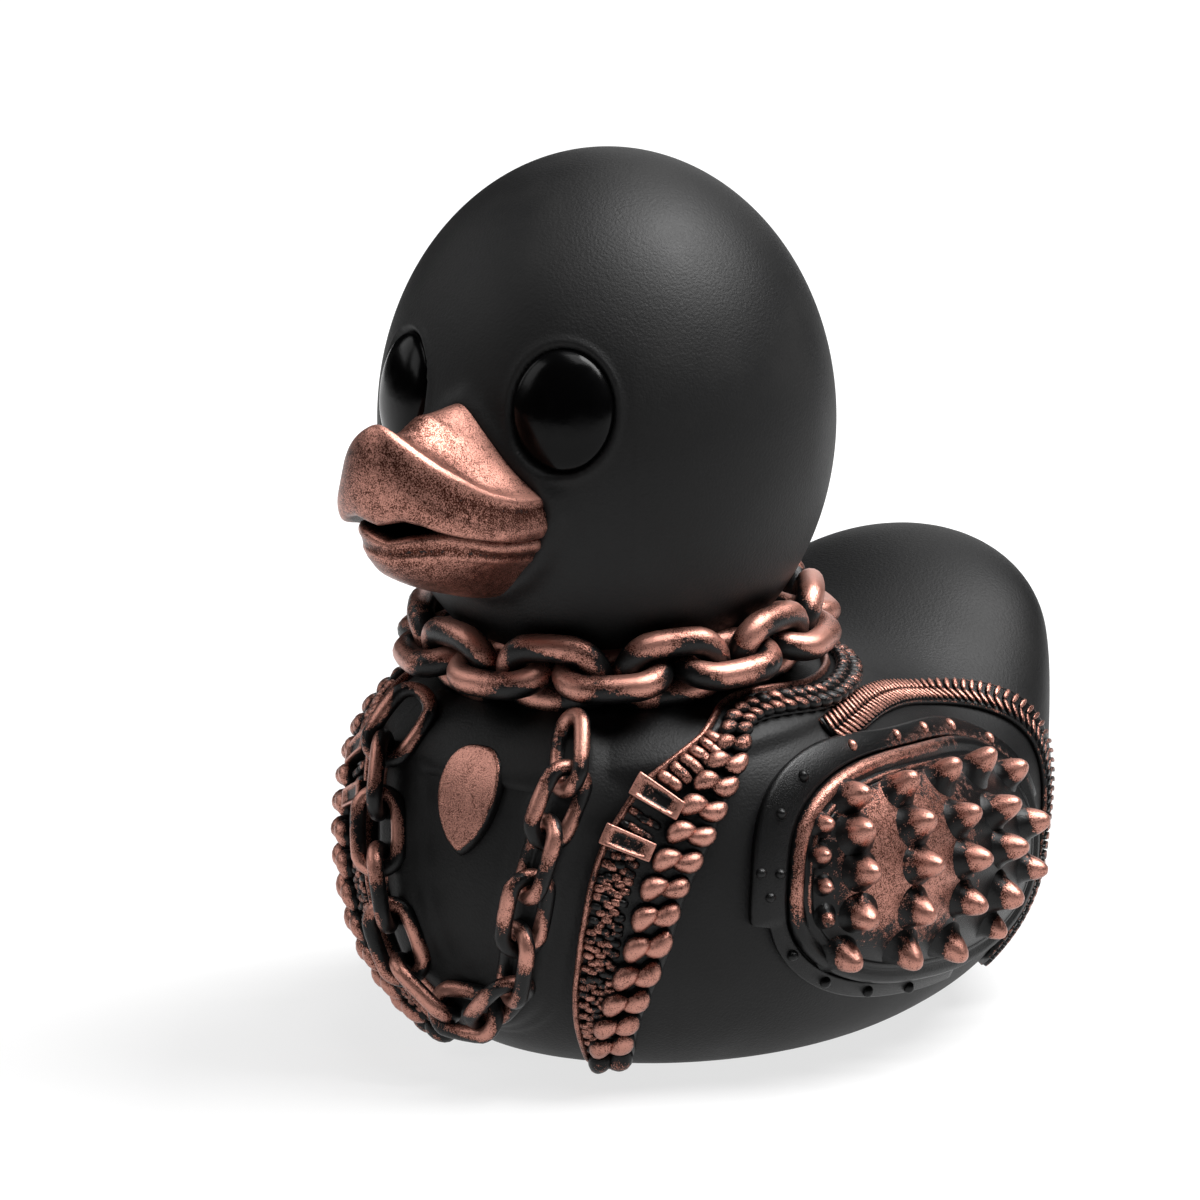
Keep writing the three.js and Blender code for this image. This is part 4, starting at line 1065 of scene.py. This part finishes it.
def keeper(far):
    """A flat bar whose middle is pressed in, with a raised rail round its edge."""
    bar = divided_cube(MM, 7)
    co = get_points(bar) / MM
    u, v = co[:, 0] * KEEPER_WIDE, co[:, 1] * KEEPER_LONG
    rim = np.abs(co[:, :2]).max(1) * 2
    top, rail = co[:, 2] > 0.49, rim > RAIL_START
    high = np.where(top, 0.95 + RAIL_HEIGHT * rail, (co[:, 2] + 0.5) * KEEPER_THICK)
    c, s = cos(KEEPER_TURN), sin(KEEPER_TURN)
    across = KEEPER_INSET - lapel_half(far) + v * c - u * s
    set_points(bar, np.column_stack([far + u * c + v * s, across, LAPEL_TOP + high]) * MM)
    set_brush(bar, np.where(top & rail, 0.95, 0.32) - 0.15 * (~top))
    return bar


for far, level in zip(keeper_far, ("upper", "lower")):
    bar = keeper(far)
    lapel_course.lay(bar)
    bpy.context.view_layer.objects.active = bar
    softer = bar.modifiers.new("soft edges", "BEVEL")
    softer.width = KEEPER_EDGE * MM
    softer.segments = 2
    softer.limit_method = "ANGLE"
    bpy.ops.object.modifier_apply(modifier="soft edges")
    finish_pair(bar, "zip_keeper_" + level)
print("Keepers at", [round(f, 1) for f in keeper_far], "mm along the lapel")

# %% Model the curb chain's beads
CURB_START, CURB_END, CURB_LEAN, CURB_PITCH, BEAD_BEND = 0.8, 2.4, -36, 1.5, 0.75
BEAD_LONG, BEAD_WIDE, BEAD_HIGH, BEAD_RISE, ROW_STAGGER = 3.1, 2.05, 2.0, 0.35, 0.3
# How far the chain and its rows lie from the lapel's edge and apart, and what is added at the front.
CURB_INSET, CURB_DRIFT, ROW_APART, ROW_SPREAD, BEAD_SMALL, BEAD_GROWTH = 1.25, 1.05, 0.68, 0.34, 0.66, 0.4


def curb_bead():
    """A bean: a ball drawn out and bent towards the row's middle."""
    bpy.ops.mesh.primitive_uv_sphere_add(segments=14, ring_count=9, radius=MM / 2)
    bead = bpy.context.object
    co = get_points(bead) / MM
    co[:, 1] += BEAD_BEND * co[:, 0] ** 2
    set_points(bead, co * MM)
    brush_by_height(bead, -0.02, 0.4, 0.0, 1.0)
    return bead


places = []
far = CURB_START
while far < lapel_course.length - CURB_END:
    share = far / lapel_course.length
    front, end = float(ease(share, 0.46, 0.66)), float(ease(share, 0.95, 0.985))
    size = BEAD_SMALL + BEAD_GROWTH * front
    for row in (1, -1):
        y = lapel_half(far) - CURB_INSET - CURB_DRIFT * front + row * (ROW_APART + ROW_SPREAD * front)
        sizes = (BEAD_LONG * size, -BEAD_WIDE * size * row, (BEAD_HIGH + 0.5 * front) * size)
        lift = -0.06 - 0.46 * (1 - front) - 0.9 * end + rng.uniform(-0.1, 0.08)
        places.append((turned(CURB_LEAN, sizes), (far - ROW_STAGGER * row, y, LAPEL_TOP + BEAD_RISE), lift))
    far += CURB_PITCH * (1 + front)
beads = copies(curb_bead(), places)
lapel_course.lay(beads)
bpy.context.view_layer.objects.active = beads
bpy.ops.object.mode_set(mode="EDIT")
turn_faces_out()
finish_pair(beads, "curb_chain")
print("Curb chain:", len(places), "beads on each side")

# %% [markdown]
# ## Flat snake chain
# A flat snake chain is a band of close, S-shaped ribs. Each rib here is two small leaves that lean
# opposite ways and meet on the band's middle line. The ribs sit on a thin black band whose edges caught
# a little copper.

# %% Model the snake chain
RIB_START, RIB_END, RIB_PITCH, RIB_LEAN, RIB_SIZE = 0.4, 0.3, 0.94, 22, (1.9, 0.52, 1.3)
RIB_SIDE, RIB_HEIGHT, RIB_TOP, RIB_BEND = 0.8, 0.62, 0.28, 0.5


def snake_leaf():
    """A ball with a flat top, bent like an S."""
    bpy.ops.mesh.primitive_uv_sphere_add(segments=8, ring_count=6, radius=MM / 2)
    leaf = bpy.context.object
    co = get_points(leaf) / MM
    co[:, 2] = np.minimum(co[:, 2], RIB_TOP)
    co[:, 1] += RIB_BEND * co[:, 0] ** 3
    set_points(leaf, co * MM)
    brush_by_height(leaf, 0.16, 0.26, 0.0, 1.1)
    return leaf


def band_section(far):
    """The same section all along the band."""
    edge = [(1.8, 0.1, 0.1), (1.75, 0.55, 0.45), (1.5, 0.6, 0.1)]
    other = [(-y, z, level) for y, z, level in reversed(edge)]
    return edge + [(0, 0.6, 0.05)] + other + [(-1.5, -0.3, 0), (1.5, -0.3, 0)]


places = []
far = RIB_START
while far < snake_course.length - RIB_END:
    lift = -0.16 - 0.36 * float(ease(far / snake_course.length, 0.4, 0.62)) + rng.uniform(-0.06, 0.06)
    for row in (1, -1):
        places.append((turned(90 - RIB_LEAN * row, RIB_SIZE), (far, RIB_SIDE * row, RIB_HEIGHT), lift))
    far += RIB_PITCH
snake = join_all([flat_strip("band", band_section, snake_course.length, 150), copies(snake_leaf(), places)])
snake_course.lay(snake)
finish_pair(snake, "snake_chain")
print("Flat chain:", len(places) // 2, "ribs")

# %% [markdown]
# ## Chest plate
# The shield on the breast is a thin plate with rounded shoulders and a point. It is drawn as rings from its
# outline inwards, with a black bevel round a brushed copper face.

# %% Model the chest plate
SHIELD_HALF, SHIELD_RISE, SHIELD_DROP, SHIELD_Y, SHIELD_Z = 3.4, 4.2, 5.9, -36.8, 29.2
SHIELD_SIDES = 72
# Each row: the share of the outline, the height over the skin, and the brush.
SHIELD_ROWS = (
    (1.06, -0.2, 0.0), (1.06, 0.25, 0.05), (1.0, 0.75, 0.3), (0.94, 0.95, 0.7), (0.88, 0.92, 0.86),
    (0.7, 0.9, 0.86), (0.45, 0.92, 0.84), (0.2, 0.95, 0.84),
)
turn = np.linspace(0, 2 * pi, SHIELD_SIDES, endpoint=False)
c, s = np.cos(turn), np.sin(turn)
across = np.where(s > 0, np.abs(c) ** 0.72, np.abs(c) ** 1.4 * (1 + 0.1 * s))
high = np.where(s > 0, SHIELD_RISE * np.abs(s) ** 0.88, SHIELD_DROP * s)
outline = np.column_stack([SHIELD_HALF * np.sign(c) * across, high])
rings = []
for share, height, _ in SHIELD_ROWS:
    x, z = (outline * share).T
    skin, out = on_body(np.column_stack([x, np.full(SHIELD_SIDES, SHIELD_Y), SHIELD_Z + z]))
    rings.append(skin + out * height)
plate = ring_stack("plate", rings, np.repeat([level for _, _, level in SHIELD_ROWS], SHIELD_SIDES))
brushed_down = brushed_copper("copper brushed downwards", (1, 1, 0.16))
finish_piece(plate, "chest_shield", brushed_down, "copper_paint", "chest_plate")
print("Chest plate:", 2 * SHIELD_HALF, "by", round(SHIELD_RISE + SHIELD_DROP, 1), "mm")

# %% [markdown]
# ## Wings
# Each wing is an oval pad, domed like a cushion, with a rolled rim and rows of blunt studs. A riveted strap
# runs over the top of the pad, down in front of it and back under it. The pad's own flat place is given
# along the wing and up it, and it is laid against the flank from inside the body.

# %% Lay the pad with its rim
WING_Y, WING_Z, WING_TILT = -1.8, 19.4, radians(5)
WING_HALF, EVEN_INSET = np.array([20.4, 10.9]), 6
SQUARE, SQUARE_TOP, ROUND_REAR = 2.5, 0.6, 0.25
WING_AROUND = np.linspace(0, 2 * pi, 150, endpoint=False)


def oval(turn, grow):
    """The wing's outline, squarer over its top, and rounder under its rear."""
    c, s = np.cos(turn), np.sin(turn)
    square = SQUARE + SQUARE_TOP * np.clip(s, 0, 1) - ROUND_REAR * np.clip(c, 0, 1) * np.clip(-s, 0, 1)
    k = (np.abs(c) ** square + np.abs(s) ** square) ** (-1 / square)
    return np.column_stack([c * k * (WING_HALF[0] + grow), s * k * (WING_HALF[1] + grow)])


def lay_on_wing(flat, high):
    """Millimetres along the wing and up it, at a height over the body, to the duck's own."""
    c, s = cos(WING_TILT), sin(WING_TILT)
    along, up = flat[:, 0], flat[:, 1]
    inside = np.column_stack([np.zeros(len(flat)), WING_Y + along * c + up * s, WING_Z + up * c - along * s])
    skin = skin_points(body_form, inside, np.broadcast_to([1.0, 0, 0], inside.shape))
    return skin + skin_normals(body_form, skin) * np.reshape(high, (-1, 1))


def wing_stack(name, rows):
    """Rings on the wing. A row is a flat ring, its height and its brush, as values or as a rule."""
    rings, brush = [], []
    for flat, high, level in rows:
        rings.append(lay_on_wing(flat, high(flat) if callable(high) else high))
        brush.append(level(flat) if callable(level) else np.full(len(flat), level))
    return ring_stack(name, rings, np.array(brush))


def pad_ring(inset):
    """The outline drawn in evenly near the edge, and towards the middle further in."""
    inner = (WING_HALF[1] - inset) / (WING_HALF[1] - EVEN_INSET)
    return oval(WING_AROUND, -min(inset, EVEN_INSET)) * min(1, inner)


def top_front(flat):
    """The brush ran over the rim's top and front."""
    return 0.12 + 0.52 * ease(flat[:, 1] * 0.8 - flat[:, 0] * 0.45, 2.0, 9.0)


# Each row: how far in from the edge, the height over the skin, and the brush.
PAD_ROWS = (
    (-0.1, -0.4, 0.0), (-0.15, 0.6, 0.05), (0.1, 1.35, top_front), (0.5, 1.65, top_front),
    (0.95, 1.55, top_front), (1.2, 1.2, 0.1), (1.45, 1.15, 0.1), (1.7, 1.4, top_front), (2.0, 1.35, 0.15),
    (2.3, 0.9, 0.0), (6.0, 0.9, 0.0), (9.0, 0.9, 0.0),
)
pad = wing_stack("pad", [(pad_ring(inset), high, level) for inset, high, level in PAD_ROWS])
finish_pair(pad, "wing_pad", "black_paint")
print("Wing pad:", 2 * WING_HALF[0], "by", 2 * WING_HALF[1], "mm")

# %% Model the domed plate and its studs
DOME, PLATE_EDGE, PLATE_INSET, PLATE_FOOT = 2.0, 1.3, 2.1, 0.3
PLATE_SHARES = (1.0, 1.0, 0.985, 0.96, 0.92, 0.86, 0.79, 0.7, 0.6, 0.5, 0.4, 0.3, 0.2, 0.1)
STUD_ROWS, STUD_COLUMNS = (7.6, 4.0, 0.9, -2.9, -6.8), (-13.8, -7.0, 0.1, 7.3)
# Each stud: how far along the wing and up it, and its size.
studs_at = []
for x in STUD_COLUMNS:
    studs_at += [(x + rng.uniform(-0.3, 0.3), y + rng.uniform(-0.2, 0.2), 1.0) for y in STUD_ROWS]
del studs_at[-1]
studs_at += [(14.6, 6.6, 0.95), (14.9, 2.3, 0.95), (14.2, -1.6, 0.9), (7.6, -6.0, 0.8)]
studs_at += [(-17.2, 5.2, 0.6), (-17.7, 2.4, 0.6), (-17.4, -0.3, 0.5), (-16.9, -3.2, 0.6)]


def plate_height(flat):
    """A cushion: low at its edge and full in the middle."""
    q = ((np.abs(flat) / (WING_HALF - 2)) ** 2.5).sum(1) ** 0.4
    return PLATE_EDGE + DOME * (1 - np.clip(q, 0, 1) ** 2)


def middle_brush(flat):
    """The dry brush swept the middle of the plate and left its lower edge black."""
    spot = ((flat[:, 0] + 7) / 10) ** 2 + ((flat[:, 1] - 0.5) / 7) ** 2
    return 0.12 + 0.62 * np.exp(-(spot**1.5)) + 0.18 * ease(flat[:, 1], 2, 8)


# The stud's radius and height, from its skirt to its tip.
STUD_PROFILE = (
    (2.5, -0.55), (2.1, 0.0), (1.76, 0.35), (1.52, 0.9), (1.32, 1.55), (1.1, 2.1), (0.82, 2.6), (0.46, 2.98),
    (0.0, 3.1),
)


def stud_shape():
    """A blunt cone with a hollow flank and a skirt, drawn up ring by ring from a circle."""
    bpy.ops.mesh.primitive_circle_add(vertices=20, radius=STUD_PROFILE[0][0] * MM)
    bpy.ops.object.mode_set(mode="EDIT")
    for (r0, z0), (r1, z1) in zip(STUD_PROFILE, STUD_PROFILE[1:]):
        bpy.ops.mesh.extrude_region_move(TRANSFORM_OT_translate={"value": (0, 0, (z1 - z0) * MM)})
        if r1:
            bpy.ops.transform.resize(value=(r1 / r0, r1 / r0, 1))
        else:
            bpy.ops.mesh.merge(type="CENTER")
    turn_faces_out()
    return bpy.context.object


rows = []
for share in PLATE_SHARES:
    rows.append((oval(WING_AROUND, -PLATE_INSET) * share, plate_height if rows else PLATE_FOOT, middle_brush))
plate = wing_stack("plate", rows)
cone, cone_faces = take_apart(stud_shape())
cone[:, 2] += STUD_PROFILE[0][1]
parts = []
for x, y, size in studs_at:
    around = np.array([(x, y), (x + 0.3, y), (x - 0.3, y), (x, y + 0.3), (x, y - 0.3)])
    surface = lay_on_wing(around, plate_height(around))
    along = unit(surface[1] - surface[2])
    out = unit(np.cross(along, surface[3] - surface[4]))
    sizes = [1 + rng.uniform(-0.06, 0.06), 1 + rng.uniform(-0.06, 0.06), 1 + rng.uniform(-0.08, 0.08)]
    shape = cone * size * sizes
    side = unit(shape + [0, 0, 0.001])
    tip = 0.05 + 0.85 * ease(cone[:, 2], 0.4, 2.1) + side[:, 1] * 0.28 - side[:, 0] * 0.1
    dim = 0.45 if (x < -15 and y < -2) else 0
    brush = np.maximum(tip, middle_brush(around[:1])[0] * 0.5) - dim
    parts.append((surface[0] + shape @ np.stack([along, np.cross(out, along), out]), brush))
finish_pair(join_all([plate, repeated("studs", cone_faces, parts)]), "stud_plate")
print("Studs on each wing:", len(studs_at))

# %% Model the riveted strap
STRAP_START, STRAP_END, STRAP_STEPS, STRAP_LIT = radians(20), radians(290), 180, radians(125)
FRONT_START, FRONT_FULL, TAB_START, TAB_END = radians(95), radians(150), radians(196), radians(200)
STRAP_GAP, STRAP_WIDTH, TAB_WIDTH, STRAP_HEIGHT, TAB_HEIGHT, STRAP_FOOT = 0.25, 1.5, 1.6, 0.75, 0.25, -0.3
RIVET_TURNS = (34, 48, 64, 80, 97, 117, 137, 152, 214, 232, 250, 268)


def strap_place(turn, share):
    """Broad over the front, where it ends in a square tab, and narrow elsewhere."""
    front = ease(turn, FRONT_START, FRONT_FULL) * (1 - ease(turn, TAB_START, TAB_END))
    return oval(turn, STRAP_GAP + share * (STRAP_WIDTH + TAB_WIDTH * front))


rows = []
for angle in np.linspace(STRAP_START, STRAP_END, STRAP_STEPS):
    high = STRAP_HEIGHT + TAB_HEIGHT * (1 - ease(angle, TAB_START, TAB_END))
    lit = 0.45 * (1 - ease(angle, FRONT_START, STRAP_LIT))
    section = np.array([
        (0.0, STRAP_FOOT, 0), (0.0, high - 0.1, lit), (0.12, high, lit), (0.88, high, 0.05),
        (1.0, high - 0.12, 0.08), (1.0, STRAP_FOOT, 0),
    ])
    rows.append((strap_place(angle, section[:, 0]), section[:, 1], section[:, 2]))
pieces = [wing_stack("strap", rows)]
for degrees, share in [(t, 0.5) for t in RIVET_TURNS] + [(176, 0.25), (176, 0.8), (186, 0.5)]:
    bpy.ops.mesh.primitive_uv_sphere_add(segments=14, ring_count=8, radius=0.5 * MM)
    rivet = bpy.context.object
    co = get_points(rivet) / MM
    lit = 0.85 if radians(degrees) < STRAP_LIT else 0.12
    set_brush(rivet, lit * ease(co[:, 2], -0.1, 0.3))
    flat = strap_place(radians(degrees), share) + co[:, :2]
    set_points(rivet, lay_on_wing(flat, 0.85 + co[:, 2] * 1.2) * MM)
    pieces.append(rivet)
finish_pair(join_all(pieces), "wing_strap", "black_paint")
print("Strap:", len(pieces) - 1, "rivets")

# %% [markdown]
# ## Plug
# The plug in the underside keeps its CAD shape. The body's skin gets a round recess for it, cut with a
# cylinder, so that the joint line shows.

# %% Cut the recess for the plug
PLUG_RADIUS, PLUG_Y, RECESS, CREASE = 7, 16, 4.6, radians(40)
bpy.ops.mesh.primitive_cylinder_add(
    vertices=96, radius=PLUG_RADIUS * MM, depth=2 * RECESS * MM, location=(0, PLUG_Y * MM, 0)
)
cutter = bpy.context.object
bpy.context.view_layer.objects.active = body
cut = body.modifiers.new("plug recess", "BOOLEAN")
cut.operation = "DIFFERENCE"
cut.solver = "EXACT"
cut.object = cutter
bpy.ops.object.modifier_apply(modifier="plug recess")
bpy.data.objects.remove(cutter)
smooth_faces(body)
body.data.set_sharp_from_angle(angle=CREASE)
plug = nodes["base_plug"]
plug.data.materials.clear()
plug.data.materials.append(matt_black)
print("Body with its recess:", len(body.data.polygons), "faces")
